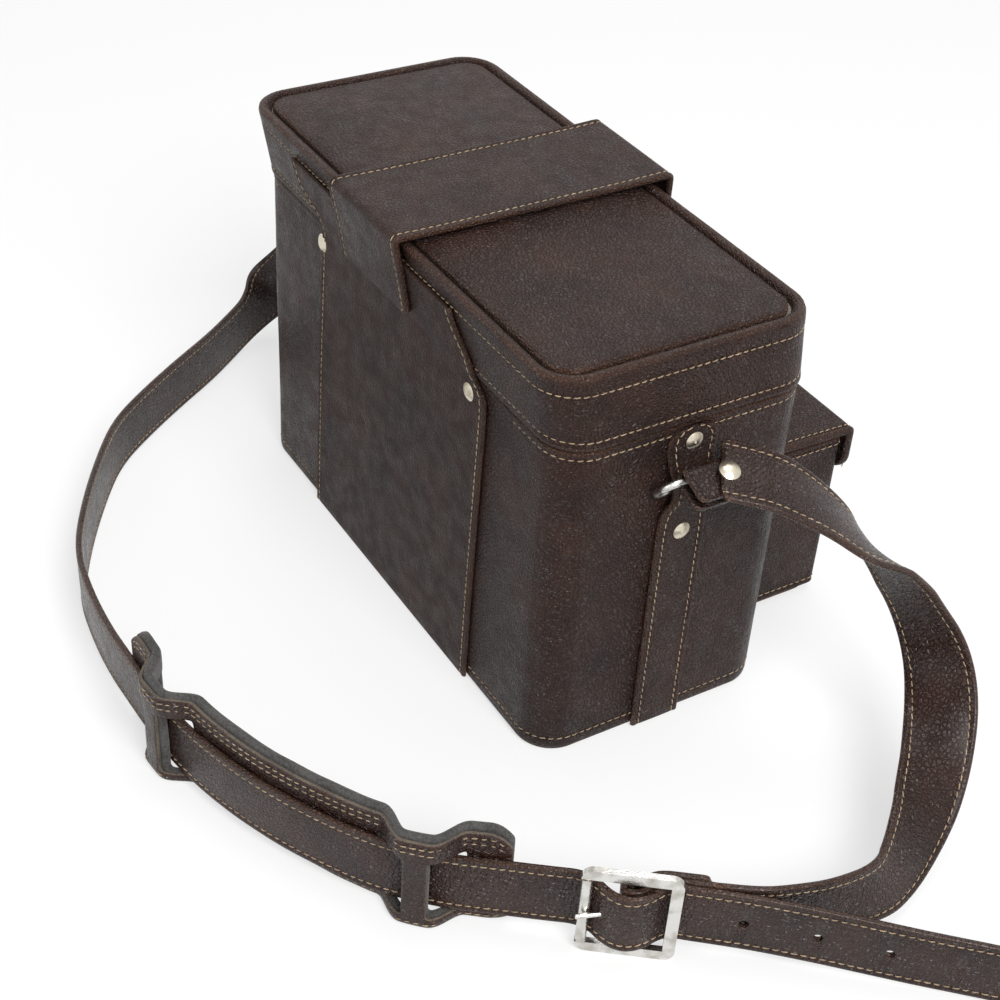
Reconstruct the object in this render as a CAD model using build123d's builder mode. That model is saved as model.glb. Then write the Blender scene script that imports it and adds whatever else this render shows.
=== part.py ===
from build123d import *
import math
import os

os.makedirs("parts", exist_ok=True)

# Case body: the outer box, its board and its lining
case_length = 250.0
case_depth = 112.0
corner_radius = 16.0
parting_height = 148.0
wall = 3.0
base_board = 3.0
base_rounding = 2.0
lining = 0.8
collar_thickness = 1.5
collar_rise = 8.0
collar_seat = 20.0
fit_gap = 0.3
running_gap = 0.8

# Lid: how far its wall leans out, and how its top is built up
lid_reveal = 0.8
lid_lean_back = 6.2
lid_lean_front = 3.0
lid_height = 33.0
piping_width = 4.6
piping_height = 3.0
piping_rounding = 1.3
panel_groove = 1.6
panel_thickness = 2.6
panel_rounding = 1.0
top_board = 3.0

# Leather of the back, the hinge and the wide belt over the lid
leather = 1.6
back_panel_width = 140.0
hinge_leather_drop = 9.0
hinge_rounding = 1.3
belt_width = 56.0
belt_centre = 8.0
belt_thickness = 2.4
belt_seat_rise = 4.0
belt_lift = 2.2
belt_bend = 7.0

# Closing tongue at the front of the belt, with its press stud
tongue_length = 62.0
tongue_standoff = 1.0
tongue_corner = 14.0
stud_inset = 14.0
stud_cap_radius = 6.5
stud_cap_rise = 1.8
stud_ring_radius = 5.0
stud_ring_depth = 0.8
stud_post_radius = 1.6
stud_bore_radius = 1.7
stud_tip_radius = 1.8
stud_base_thickness = 0.5

# Rivets: domed heads on thin shanks
rivet_head_radius = 4.2
rivet_head_rise = 1.5
rivet_shank_radius = 1.4
rivet_clearance = 0.05
back_rivet_offset = 62.0
back_rivet_drop = 8.0

# End tabs that hold the strap rings
tab_width = 23.0
tab_thickness = 2.0
tab_drop = 1.0
tab_rivet_drop = 7.0
ring_drop = 27.0
tab_rivet_below_ring = 22.0
ring_wire = 3.0
ring_inner_width = 29.0
ring_inner_reach = 10.0
ring_corner = 4.0
ring_tilt = 50.0
ring_play = 0.6

# Front pocket and its flap
pocket_length = 180.0
pocket_depth = 57.0
pocket_foot = 3.0
pocket_top = 84.0
pocket_wall_thickness = 2.5
pocket_corner = 12.0
flap_thickness = 3.4
flap_overhang = 4.6
flap_back_rise = 7.0
flap_front_rise = 4.0
flap_lip = 24.0
flap_bend = 4.0
flap_side_overhang = 1.6
flap_stud_inset = 7.0

# Shoulder strap
strap_width = 28.0
strap_thickness = 2.4
strap_step = 6.0
strap_stretch = 12
arc_share = 0.45
layer_gap = 0.3

# Leather sleeve that folds round each ring and is riveted to the strap
sleeve_width = 22.0
sleeve_thickness = 2.0
sleeve_reach = 12.0
sleeve_play = 0.4
sleeve_pitch = 22.0
sleeve_shift = -1.0
short_rivet_shift = -5.0
strap_rivet_reach = 4.5

# Shoulder pad: leather and felt, slit so that the strap weaves through
pad_start_point = (-26, 187, 19)
pad_length = 190.0
pad_foot = 0.5
pad_waist_top = 43.0
pad_end_top = 46.0
pad_tip_top = 40.0
pad_leather_thickness = 2.0
pad_felt_thickness = 4.0
pad_slits = (22.0, 44.0, 146.0, 168.0)
pad_weave = 6.0
pad_tip_length = 9.0
pad_strap_gap = 0.4

# Buckle: a frame that stands on its long edge, with a centre bar, a roller and a prong
buckle_height = 42.0
buckle_length = 36.0
buckle_bar = 4.4
buckle_thickness = 2.6
buckle_setback = 1.5
centre_bar_radius = 1.25
roller_radius = 2.1
roller_play = 0.15
roller_end_gap = 0.4
prong_radius = 1.0
prong_eye_radius = 2.6
prong_eye_width = 4.0
prong_slot_gap = 0.5
prong_length = 19.6
prong_hole_along = -8.5
prong_hole_length = 7.0
fold_reach = 30.0
fold_tail = 28.0
fold_line = -6.35

half_length = case_length / 2
half_depth = case_depth / 2
lid_foot = parting_height + fit_gap
rim_height = parting_height + lid_height
piping_seat = rim_height - piping_height
hinge_leather_top = rim_height - hinge_leather_drop
belt_seat = parting_height + belt_seat_rise
back_rivet_height = parting_height - back_rivet_drop
tab_top = parting_height - tab_drop
tab_rivet_high = parting_height - tab_rivet_drop
ring_height = parting_height - ring_drop
tab_rivet_low = ring_height - tab_rivet_below_ring
flap_back_height = pocket_top + flap_back_rise
flap_front_height = pocket_top + flap_front_rise
flap_foot = flap_front_height - flap_lip
flap_stud_height = flap_foot + flap_stud_inset
straight_mouth = lid_foot + collar_rise + running_gap


def outline(height, grow, front=0.0, back=0.0):
    """The case's rounded outline at a height, grown all round and moved out at front and back."""
    with BuildSketch(Plane((0, (back - front) / 2, height))) as shape:
        RectangleRounded(
            case_length + 2 * grow,
            case_depth + 2 * grow + front + back,
            corner_radius + grow,
        )
    return shape.sketch


def lean(height):
    """How far the lid's outside has moved at front and back at a height."""
    share = (height - lid_foot) / (rim_height - lid_foot)
    return {"front": -lid_lean_front * share, "back": lid_lean_back * share}


def inner_lean(height):
    """The same for the lid's inside, which stays straight past the collar and then leans."""
    share = (height - straight_mouth) / (piping_seat - straight_mouth)
    full = lean(piping_seat)
    return {"front": full["front"] * share, "back": full["back"] * share}


def domed_pin(seat, head_radius, head_rise, shank_radius, shank_length):
    """A pin on its seat plane with a domed head, whose shank runs back through the layers under it."""
    dome_radius = (head_radius**2 + head_rise**2) / (2 * head_rise)
    half_angle = math.asin(head_radius / dome_radius) / 2
    dome_point = (
        dome_radius * math.sin(half_angle),
        head_rise - dome_radius * (1 - math.cos(half_angle)),
    )
    with BuildPart() as pin:
        with BuildSketch(Plane.XZ):
            with BuildLine():
                Polyline(
                    (0, head_rise),
                    (0, -shank_length),
                    (shank_radius, -shank_length),
                    (shank_radius, 0),
                    (head_radius, 0),
                )
                ThreePointArc((head_radius, 0), dome_point, (0, head_rise))
            make_face()
        revolve(axis=Axis.Z)
    return seat.location * pin.part


def rivet(seat, shank_length):
    """A small domed rivet."""
    return domed_pin(seat, rivet_head_radius, rivet_head_rise, rivet_shank_radius, shank_length)


# Rivet seats: on the back panel and on the two end tabs
back_seats = [
    Plane((side * back_rivet_offset, half_depth + leather, back_rivet_height), z_dir=(0, 1, 0))
    for side in (-1, 1)
]
tab_seats = [
    Plane((side * (half_length + tab_thickness), 0, height), z_dir=(side, 0, 0))
    for side in (-1, 1)
    for height in (tab_rivet_low, tab_rivet_high)
]
rivet_reach = wall + lining + tab_thickness
rivet_bore = rivet_shank_radius + rivet_clearance


# The case body is a leather-covered board wall on a base board
with BuildPart() as body_wall:
    extrude(outline(base_board, 0), amount=parting_height - base_board)
    extrude(outline(base_board, -wall), amount=parting_height - base_board, mode=Mode.SUBTRACT)
    for seat in back_seats + tab_seats:
        with BuildSketch(seat):
            Circle(rivet_bore)
        extrude(amount=-rivet_reach - leather, mode=Mode.SUBTRACT)
body_wall.part.label = "body_wall"
export_step(body_wall.part, "parts/body_wall.step")

with BuildPart() as body_base:
    extrude(outline(0, 0), amount=base_board)
    fillet(body_base.faces().sort_by(Axis.Z)[0].edges(), radius=base_rounding)
body_base.part.label = "body_base"
export_step(body_base.part, "parts/body_base.step")

# The lining is a thin cup; the collar stands in it and locates the lid
with BuildPart() as body_lining:
    extrude(outline(base_board, -wall), amount=parting_height - base_board - fit_gap)
    extrude(
        outline(base_board + lining, -wall - lining), amount=parting_height, mode=Mode.SUBTRACT
    )
    for seat in back_seats + tab_seats:
        with BuildSketch(seat):
            Circle(rivet_bore)
        extrude(amount=-rivet_reach - leather, mode=Mode.SUBTRACT)
body_lining.part.label = "body_lining"
export_step(body_lining.part, "parts/body_lining.step")

collar_height = collar_seat + collar_rise
with BuildPart() as locating_collar:
    collar_foot = parting_height - collar_seat
    extrude(outline(collar_foot, -wall - lining), amount=collar_height)
    extrude(
        outline(collar_foot, -wall - lining - collar_thickness),
        amount=collar_height,
        mode=Mode.SUBTRACT,
    )
    for seat in back_seats + tab_seats:
        with BuildSketch(seat):
            Circle(rivet_head_radius)
        extrude(amount=-rivet_reach - leather - collar_thickness, mode=Mode.SUBTRACT)
locating_collar.part.label = "locating_collar"
export_step(locating_collar.part, "parts/locating_collar.step")

# Raised leather panel on the back, riveted at its top corners
with BuildPart() as back_panel:
    with BuildSketch(Plane.XZ.offset(-half_depth)):
        with Locations((0, parting_height / 2)):
            Rectangle(back_panel_width, parting_height)
    extrude(amount=-leather)
    for seat in back_seats:
        with BuildSketch(seat):
            Circle(rivet_bore)
        extrude(amount=-leather, mode=Mode.SUBTRACT)
back_panel.part.label = "back_panel"
export_step(back_panel.part, "parts/back_panel.step")

with BuildPart() as back_panel_rivets:
    for seat in back_seats:
        add(rivet(seat, leather + wall + lining))
back_panel_rivets.part.label = "back_panel_rivets"
export_step(back_panel_rivets.part, "parts/back_panel_rivets.step")

# End tabs: a strap up each end face that bulges over the inner bar of its ring
ring_pivot = half_length + ring_play + ring_wire / 2
tab_line = half_length + tab_thickness / 2
tab_bulge = ring_pivot + ring_wire / 2 + ring_play + tab_thickness / 2
tab_rise = 15.0
tab_flat = 4.0
for side, name in ((-1, "end_tab_left"), (1, "end_tab_right")):
    with BuildPart() as end_tab:
        with BuildSketch(Plane.XZ):
            with BuildLine():
                FilletPolyline(
                    (side * tab_line, 0),
                    (side * tab_line, ring_height - tab_rise),
                    (side * tab_bulge, ring_height - tab_flat),
                    (side * tab_bulge, ring_height + tab_flat),
                    (side * tab_line, ring_height + tab_rise),
                    (side * tab_line, tab_top),
                    radius=2 * tab_flat,
                )
            trace(line_width=tab_thickness)
        extrude(amount=tab_width / 2, both=True)
        for seat in tab_seats:
            with BuildSketch(seat):
                Circle(rivet_bore)
            extrude(amount=-tab_thickness, mode=Mode.SUBTRACT)
    end_tab.part.label = name
    export_step(end_tab.part, f"parts/{name}.step")

with BuildPart() as tab_rivets:
    for seat in tab_seats:
        add(rivet(seat, rivet_reach))
tab_rivets.part.label = "tab_rivets"
export_step(tab_rivets.part, "parts/tab_rivets.step")

# Strap rings: a wire loop whose inner bar lies in the tab and whose outer bar holds the strap
ring_reach = ring_inner_reach + ring_wire
ring_slope = math.radians(ring_tilt)
for side, name in ((-1, "strap_ring_left"), (1, "strap_ring_right")):
    ring_plane = Plane(
        origin=(
            side * (ring_pivot + ring_reach / 2 * math.cos(ring_slope)),
            0,
            ring_height + ring_reach / 2 * math.sin(ring_slope),
        ),
        x_dir=(0, 1, 0),
        z_dir=(-math.sin(ring_slope) * side, 0, math.cos(ring_slope)),
    )
    with BuildPart() as strap_ring:
        with BuildLine(ring_plane) as ring_line:
            half_span = (ring_inner_width + ring_wire) / 2
            FilletPolyline(
                (half_span, -ring_reach / 2),
                (half_span, ring_reach / 2),
                (-half_span, ring_reach / 2),
                (-half_span, -ring_reach / 2),
                radius=ring_corner,
                close=True,
            )
        with BuildSketch(Plane(ring_line.line @ 0, z_dir=ring_line.line % 0)):
            Circle(ring_wire / 2)
        sweep(path=ring_line.line)
    strap_ring.part.label = name
    export_step(strap_ring.part, f"parts/{name}.step")

# Lid: a leaning wall, a board across it, the inset top panel and the rounded rim round it
with BuildPart() as lid_wall:
    loft([outline(lid_foot, lid_reveal), outline(piping_seat, lid_reveal, **lean(piping_seat))])
    extrude(outline(lid_foot, lid_reveal - wall), amount=collar_rise + running_gap, mode=Mode.SUBTRACT)
    loft(
        [
            outline(straight_mouth, lid_reveal - wall),
            outline(piping_seat, lid_reveal - wall, **lean(piping_seat)),
        ],
        mode=Mode.SUBTRACT,
    )
lid_wall.part.label = "lid_wall"
export_step(lid_wall.part, "parts/lid_wall.step")

board_foot = piping_seat - top_board
with BuildPart() as lid_top_board:
    loft(
        [
            outline(board_foot, lid_reveal - wall, **inner_lean(board_foot)),
            outline(piping_seat, lid_reveal - wall, **lean(piping_seat)),
        ]
    )
lid_top_board.part.label = "lid_top_board"
export_step(lid_top_board.part, "parts/lid_top_board.step")

with BuildPart() as lid_rim_piping:
    extrude(outline(piping_seat, lid_reveal, **lean(piping_seat)), amount=piping_height)
    extrude(
        outline(piping_seat, lid_reveal - piping_width, **lean(piping_seat)),
        amount=piping_height,
        mode=Mode.SUBTRACT,
    )
    fillet(lid_rim_piping.faces().sort_by(Axis.Z)[-1].edges(), radius=piping_rounding)
lid_rim_piping.part.label = "lid_rim_piping"
export_step(lid_rim_piping.part, "parts/lid_rim_piping.step")

panel_inset = lid_reveal - piping_width - panel_groove
with BuildPart() as lid_top_panel:
    extrude(outline(piping_seat, panel_inset, **lean(piping_seat)), amount=panel_thickness)
    fillet(lid_top_panel.faces().sort_by(Axis.Z)[-1].edges(), radius=panel_rounding)
lid_top_panel.part.label = "lid_top_panel"
export_step(lid_top_panel.part, "parts/lid_top_panel.step")

with BuildPart() as lid_lining:
    lining_grow = lid_reveal - wall
    extrude(outline(lid_foot, lining_grow), amount=collar_rise + running_gap)
    loft(
        [
            outline(straight_mouth, lining_grow),
            outline(board_foot, lining_grow, **inner_lean(board_foot)),
        ]
    )
    extrude(
        outline(lid_foot, lining_grow - lining), amount=collar_rise + running_gap, mode=Mode.SUBTRACT
    )
    loft(
        [
            outline(straight_mouth, lining_grow - lining),
            outline(board_foot - lining, lining_grow - lining, **inner_lean(board_foot - lining)),
        ],
        mode=Mode.SUBTRACT,
    )
lid_lining.part.label = "lid_lining"
export_step(lid_lining.part, "parts/lid_lining.step")

# Hinge leather: it follows the lid's leaning back wall up from the parting line
with BuildPart() as hinge_leather:
    loft(
        [
            outline(lid_foot, lid_reveal + leather),
            outline(piping_seat, lid_reveal + leather, **lean(piping_seat)),
        ]
    )
    loft(
        [outline(lid_foot, lid_reveal), outline(piping_seat, lid_reveal, **lean(piping_seat))],
        mode=Mode.SUBTRACT,
    )
    with Locations((0, half_depth, (lid_foot + hinge_leather_top) / 2)):
        Box(back_panel_width, case_depth, hinge_leather_top - lid_foot, mode=Mode.INTERSECT)
    fillet(
        hinge_leather.edges().filter_by(Axis.X).group_by(Axis.Z)[0].sort_by(Axis.Y)[-1],
        radius=hinge_rounding,
    )
hinge_leather.part.label = "hinge_leather"
export_step(hinge_leather.part, "parts/hinge_leather.step")

# Wide belt: sewn over the hinge leather at the back, over the rim, down to the front edge
belt_top = rim_height + belt_lift + belt_thickness / 2
belt_slope = lid_lean_back / (rim_height - lid_foot)
belt_back_line = half_depth + lid_reveal + leather + fit_gap + belt_thickness / 2
belt_back_foot = belt_back_line + belt_slope * (belt_seat - lid_foot)
belt_back_head = belt_back_line + belt_slope * (belt_top - lid_foot)
tongue_line = half_depth + lid_reveal + tongue_standoff + belt_thickness / 2
tongue_pivot_height = rim_height - belt_bend
with BuildPart() as lid_strap:
    with BuildSketch(Plane.YZ.offset(belt_centre)):
        with BuildLine():
            FilletPolyline(
                (belt_back_foot, belt_seat),
                (belt_back_head, belt_top),
                (-tongue_line, belt_top),
                (-tongue_line, tongue_pivot_height + belt_thickness / 2 + fit_gap),
                radius=belt_bend - fit_gap - belt_thickness / 2,
            )
        trace(line_width=belt_thickness)
    extrude(amount=belt_width / 2, both=True)
lid_strap.part.label = "lid_strap"
export_step(lid_strap.part, "parts/lid_strap.step")

# Closing tongue: it folds at the front edge and hangs down over the case's front
tongue_foot = tongue_pivot_height - tongue_length
stud_height = tongue_foot + stud_inset
tongue_plane = Plane((belt_centre, -tongue_line, 0), x_dir=(1, 0, 0), z_dir=(0, -1, 0))
tongue_outside = tongue_plane.offset(belt_thickness / 2)
tongue_inside = tongue_plane.offset(-belt_thickness / 2)


def bored_stud_hole(outside, height, depth, ring_depth):
    """The tool that bores a leather tongue for a press stud: a post hole and a ring seat behind."""
    with BuildPart() as tool:
        with BuildSketch(outside):
            with Locations((0, height)):
                Circle(stud_bore_radius)
        extrude(amount=-depth)
        with BuildSketch(outside.offset(-depth)):
            with Locations((0, height)):
                Circle(stud_ring_radius + rivet_clearance)
        extrude(amount=ring_depth)
    return tool.part


with BuildPart() as strap_tongue:
    with BuildSketch(Plane.YZ.offset(belt_centre)):
        with Locations((-tongue_line, tongue_pivot_height)):
            Circle(belt_thickness / 2)
        with Locations((-tongue_line, (tongue_pivot_height + tongue_foot) / 2)):
            Rectangle(belt_thickness, tongue_length)
    extrude(amount=belt_width / 2, both=True)
    fillet(
        strap_tongue.edges().filter_by(Axis.Y).group_by(Axis.Z)[0],
        radius=tongue_corner,
    )
    add(
        bored_stud_hole(tongue_outside, stud_height, belt_thickness, stud_ring_depth),
        mode=Mode.SUBTRACT,
    )
strap_tongue.part.label = "strap_tongue"
export_step(strap_tongue.part, "parts/strap_tongue.step")


def stud_cap(outside, height, depth):
    """The press stud's domed cap, whose post fills the bore through the leather."""
    seat = Plane(outside.from_local_coords((0, height, 0)), x_dir=outside.x_dir, z_dir=outside.z_dir)
    return domed_pin(seat, stud_cap_radius, stud_cap_rise, stud_post_radius, depth)


def stud_ring(inside, height):
    """The press stud's spring ring, sunk flush in the back of the leather."""
    with BuildPart() as ring:
        with BuildSketch(inside):
            with Locations((0, height)):
                Circle(stud_ring_radius)
                Circle(stud_tip_radius + fit_gap, mode=Mode.SUBTRACT)
        extrude(amount=stud_ring_depth)
    return ring.part


def stud_tip(wall_plane, height, reach):
    """The press stud's fixed half: a thin base on the wall and a tip that points at the ring."""
    with BuildPart() as stud:
        with BuildSketch(wall_plane):
            with Locations((0, height)):
                Circle(stud_ring_radius)
        extrude(amount=stud_base_thickness)
        with BuildSketch(wall_plane):
            with Locations((0, height)):
                Circle(stud_tip_radius)
        extrude(amount=reach)
    return stud.part


with BuildPart() as tongue_snap_cap:
    add(stud_cap(tongue_outside, stud_height, belt_thickness - stud_ring_depth))
tongue_snap_cap.part.label = "tongue_snap_cap"
export_step(tongue_snap_cap.part, "parts/tongue_snap_cap.step")

with BuildPart() as tongue_snap_socket:
    add(stud_ring(tongue_inside, stud_height))
tongue_snap_socket.part.label = "tongue_snap_socket"
export_step(tongue_snap_socket.part, "parts/tongue_snap_socket.step")

front_face = Plane((belt_centre, -half_depth, 0), x_dir=(1, 0, 0), z_dir=(0, -1, 0))
with BuildPart() as front_snap_stud:
    add(stud_tip(front_face, stud_height, lid_reveal + tongue_standoff - fit_gap))
front_snap_stud.part.label = "front_snap_stud"
export_step(front_snap_stud.part, "parts/front_snap_stud.step")


# Front pocket: a three-sided wall on the case's front, with a base and a lining
def pocket_outline(height, shrink):
    """The pocket's outline at a height: square at the case's front, rounded at its own front."""
    depth = pocket_depth - shrink
    with BuildSketch(Plane.XY.offset(height)) as shape:
        with Locations((0, -half_depth - depth / 2)):
            Rectangle(pocket_length - 2 * shrink, depth)
        fillet(shape.vertices().group_by(Axis.Y)[0], radius=pocket_corner - shrink)
    return shape.sketch


pocket_height = pocket_top - pocket_foot
with BuildPart() as pocket_base:
    extrude(pocket_outline(pocket_foot, 0), amount=pocket_wall_thickness)
pocket_base.part.label = "pocket_base"
export_step(pocket_base.part, "parts/pocket_base.step")

pocket_front_face = Plane((0, -half_depth - pocket_depth, 0), x_dir=(1, 0, 0), z_dir=(0, -1, 0))
with BuildPart() as pocket_wall:
    wall_foot = pocket_foot + pocket_wall_thickness
    extrude(pocket_outline(wall_foot, 0), amount=pocket_top - wall_foot)
    extrude(
        pocket_outline(wall_foot, pocket_wall_thickness),
        amount=pocket_top - wall_foot,
        mode=Mode.SUBTRACT,
    )
pocket_wall.part.label = "pocket_wall"
export_step(pocket_wall.part, "parts/pocket_wall.step")

with BuildPart() as pocket_lining:
    extrude(pocket_outline(wall_foot, pocket_wall_thickness), amount=pocket_top - wall_foot)
    with BuildSketch(Plane.XY.offset(wall_foot + lining)):
        inner_depth = pocket_depth - pocket_wall_thickness - 2 * lining
        inner_length = pocket_length - 2 * (pocket_wall_thickness + lining)
        with Locations((0, -half_depth - lining - inner_depth / 2)):
            lining_space = Rectangle(inner_length, inner_depth)
        fillet(
            lining_space.vertices().group_by(Axis.Y)[0],
            radius=pocket_corner - pocket_wall_thickness - lining,
        )
    extrude(amount=pocket_height, mode=Mode.SUBTRACT)
pocket_lining.part.label = "pocket_lining"
export_step(pocket_lining.part, "parts/pocket_lining.step")

# Pocket flap: it hinges at the case's front and its lip hangs down over the pocket's front
flap_span = pocket_length + 2 * flap_side_overhang
flap_back = -half_depth - fit_gap
flap_front = -half_depth - pocket_depth - flap_overhang
with BuildPart() as flap_leather:
    with BuildSketch(Plane.YZ):
        with BuildLine():
            FilletPolyline(
                (flap_back - flap_thickness / 2, flap_back_height - flap_thickness / 2),
                (flap_front + flap_thickness / 2, flap_front_height - flap_thickness / 2),
                (flap_front + flap_thickness / 2, flap_foot),
                radius=flap_bend,
            )
        trace(line_width=flap_thickness)
        with Locations((flap_back - flap_thickness / 2, flap_back_height - flap_thickness / 2)):
            Circle(flap_thickness / 2)
    extrude(amount=flap_span / 2, both=True)
    flap_plane = Plane((0, flap_front, 0), x_dir=(1, 0, 0), z_dir=(0, -1, 0))
    add(
        bored_stud_hole(flap_plane, flap_stud_height, flap_thickness, stud_ring_depth),
        mode=Mode.SUBTRACT,
    )
flap_leather.part.label = "flap_leather"
export_step(flap_leather.part, "parts/flap_leather.step")

with BuildPart() as flap_snap_cap:
    add(stud_cap(flap_plane, flap_stud_height, flap_thickness - stud_ring_depth))
flap_snap_cap.part.label = "flap_snap_cap"
export_step(flap_snap_cap.part, "parts/flap_snap_cap.step")

flap_inside = flap_plane.offset(-flap_thickness)
with BuildPart() as flap_snap_socket:
    add(stud_ring(flap_inside, flap_stud_height))
flap_snap_socket.part.label = "flap_snap_socket"
export_step(flap_snap_socket.part, "parts/flap_snap_socket.step")

with BuildPart() as pocket_snap_stud:
    add(stud_tip(pocket_front_face, flap_stud_height, flap_overhang - flap_thickness - fit_gap))
pocket_snap_stud.part.label = "pocket_snap_stud"
export_step(pocket_snap_stud.part, "parts/pocket_snap_stud.step")

# Leather sleeve on each ring's outer bar; the strap's end lies on its upper leg
bar_out = ring_pivot + ring_reach * math.cos(math.radians(ring_tilt))
bar_height = ring_height + ring_reach * math.sin(math.radians(ring_tilt))
sleeve_line = ring_wire / 2 + sleeve_play + sleeve_thickness / 2
rivet_seat = sleeve_line + sleeve_thickness / 2 + layer_gap + strap_thickness + layer_gap / 2
pitch_run = math.cos(math.radians(sleeve_pitch))
pitch_drop = math.sin(math.radians(sleeve_pitch))
strap_rivet_seats = []
strap_sides = ((-1, "left", sleeve_shift, short_rivet_shift), (1, "right", 0.0, 0.0))
for side, side_name, shift, rivet_shift in strap_sides:
    sleeve_plane = Plane(
        (side * bar_out, shift, bar_height),
        x_dir=(side * pitch_run, 0, -pitch_drop),
        z_dir=(0, -side, 0),
    )
    rivet_plane = Plane(
        sleeve_plane.from_local_coords((strap_rivet_reach, rivet_seat, -side * rivet_shift)),
        x_dir=(0, 1, 0),
        z_dir=sleeve_plane.y_dir,
    )
    strap_rivet_seats.append(rivet_plane)
    with BuildPart() as strap_end:
        with BuildSketch(sleeve_plane):
            with BuildLine():
                FilletPolyline(
                    (sleeve_reach, sleeve_line),
                    (-sleeve_line, sleeve_line),
                    (-sleeve_line, -sleeve_line),
                    (sleeve_reach, -sleeve_line),
                    radius=sleeve_line - rivet_clearance,
                )
            trace(line_width=sleeve_thickness)
        extrude(amount=sleeve_width / 2, both=True)
        with BuildSketch(rivet_plane):
            Circle(rivet_shank_radius + rivet_clearance)
        extrude(amount=-2 * rivet_seat, mode=Mode.SUBTRACT)
    strap_end.part.label = "strap_end_" + side_name
    export_step(strap_end.part, "parts/strap_end_" + side_name + ".step")

strap_rivet_shank = rivet_seat + sleeve_line + sleeve_thickness / 2
with BuildPart() as strap_rivets:
    for seat in strap_rivet_seats:
        add(rivet(seat, strap_rivet_shank))
strap_rivets.part.label = "strap_rivets"
export_step(strap_rivets.part, "parts/strap_rivets.step")

# Buckle frame of reference: along the strap towards its tail, outwards, and up
buckle_centre = Vector(-221, 78, buckle_height / 2)
buckle_along = Vector(-0.6, -0.8, 0)
buckle_out = Vector(-0.8, 0.6, 0)
upright = (0, 0, 1)


def at_buckle(along, out, height):
    """A point given along and out from the buckle's centre, at its own height."""
    point = buckle_centre + buckle_along * along + buckle_out * out
    return (point.X, point.Y, height)


# Stations of the long strap, from the far ring round the back to its tail: a point of its
# centreline, and the direction in which its upper edge lies
long_stations = [
    ((138.4, 0, 135.6), (0, -1, 0)),
    ((152, -1, 130.3), (0, -1, 0)),
    ((167, -2, 115), (0, -1, 0)),
    ((181, -1, 95), (0.2, -0.95, 0.2)),
    ((194, 2, 72), (0.4, -0.75, 0.5)),
    ((204, 7, 48), (0.4, -0.4, 0.8)),
    ((209, 16, 27), (0.2, -0.1, 0.95)),
    ((206, 30, 17), upright),
    ((196, 45, 14.5), upright),
    ((182, 63, 14.5), upright),
    ((167, 86, 14.5), upright),
    ((150, 110, 14.5), upright),
    ((133, 131, 14.5), upright),
    ((111, 147, 14.5), upright),
    ((80, 166, 14.5), upright),
    ((49, 181, 15), upright),
    ((20, 185.5, 16), upright),
    ((-6, 187.5, 18), upright),
    (pad_start_point, upright),
    ((-48, 186, 19), upright),
    ((-70, 183.5, 19), upright),
    ((-95, 177, 19), upright),
    ((-118, 168, 19), upright),
    ((-140, 156.5, 19), upright),
    ((-160, 144, 19.5), upright),
    ((-177, 127.5, 20), upright),
    ((-189, 112, 20.5), upright),
    (at_buckle(-30, -4.7, 21), upright),
    (at_buckle(-15, -5.0, 21), upright),
    (at_buckle(-6, 4.6, 21), upright),
    (at_buckle(3.6, 5.0, 21), upright),
    (at_buckle(13.2, -4.1, 21), upright),
    (at_buckle(21.5, -3.5, 21), upright),
    (at_buckle(32, -3.2, 21), upright),
    (at_buckle(48, -3.3, 20), upright),
    (at_buckle(71, -2.2, 18.5), upright),
    (at_buckle(87, -1.4, 17), upright),
    (at_buckle(105, 0, 16), upright),
    (at_buckle(128, 1.4, 15), upright),
    (at_buckle(147, 3.2, 14.5), upright),
]

# Stations of the short strap, from the near ring, with one turn over, to the buckle's fold
short_stations = [
    ((-139.5, -4, 135.15), (0.58, -0.78, 0.23)),
    ((-144.5, -12.5, 133.15), (0.58, -0.78, 0.23)),
    ((-150, -21.5, 130.5), (0.6, -0.78, 0.15)),
    ((-155.5, -30, 125.5), (0.64, -0.76, 0.08)),
    ((-162, -40, 118), (0.63, -0.77, -0.13)),
    ((-169, -50, 108), (0.55, -0.75, -0.37)),
    ((-172, -59.5, 98), (0.53, -0.5, -0.65)),
    ((-175, -68, 88), (0.54, -0.29, -0.79)),
    ((-180, -78, 72), (0.53, -0.03, -0.85)),
    ((-192, -82, 56), (0.62, 0.45, -0.64)),
    ((-205, -77, 43), (0.60, 0.72, -0.3)),
    ((-219, -65, 32), (0.55, 0.83, 0.07)),
    ((-229, -53.5, 25), (0.65, 0.66, 0.38)),
    ((-236, -44, 20), (0.55, 0.55, 0.63)),
    ((-247, -26, 16), (0.28, 0.55, 0.79)),
    ((-252, -12, 15.5), (0.2, 0.35, 0.91)),
    ((-250, 11, 18), upright),
    (at_buckle(57, -10.5, 20), upright),
    (at_buckle(44, fold_line, 21), upright),
    (at_buckle(fold_reach, fold_line, 21), upright),
]


def strap_route(stations):
    """The strap's centreline: straight runs between its stations, joined by tangent arcs."""
    points = [Vector(*point) for point, edge in stations]
    runs = [end - start for start, end in zip(points, points[1:])]
    radii = []
    for before, after in zip(runs, runs[1:]):
        half_turn = math.radians(before.get_angle(after)) / 2
        radii.append(arc_share * min(before.length, after.length) / math.tan(half_turn))
    with BuildLine() as line:
        FilletPolyline(*points, radius=radii)
    return line.wire(), radii


def station_shares(stations):
    """How far along the route each station lies, as a share of its length."""
    points = [Vector(*point) for point, edge in stations]
    reached = [0.0]
    for start, end in zip(points, points[1:]):
        reached.append(reached[-1] + (end - start).length)
    return [reach / reached[-1] for reach in reached]


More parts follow.
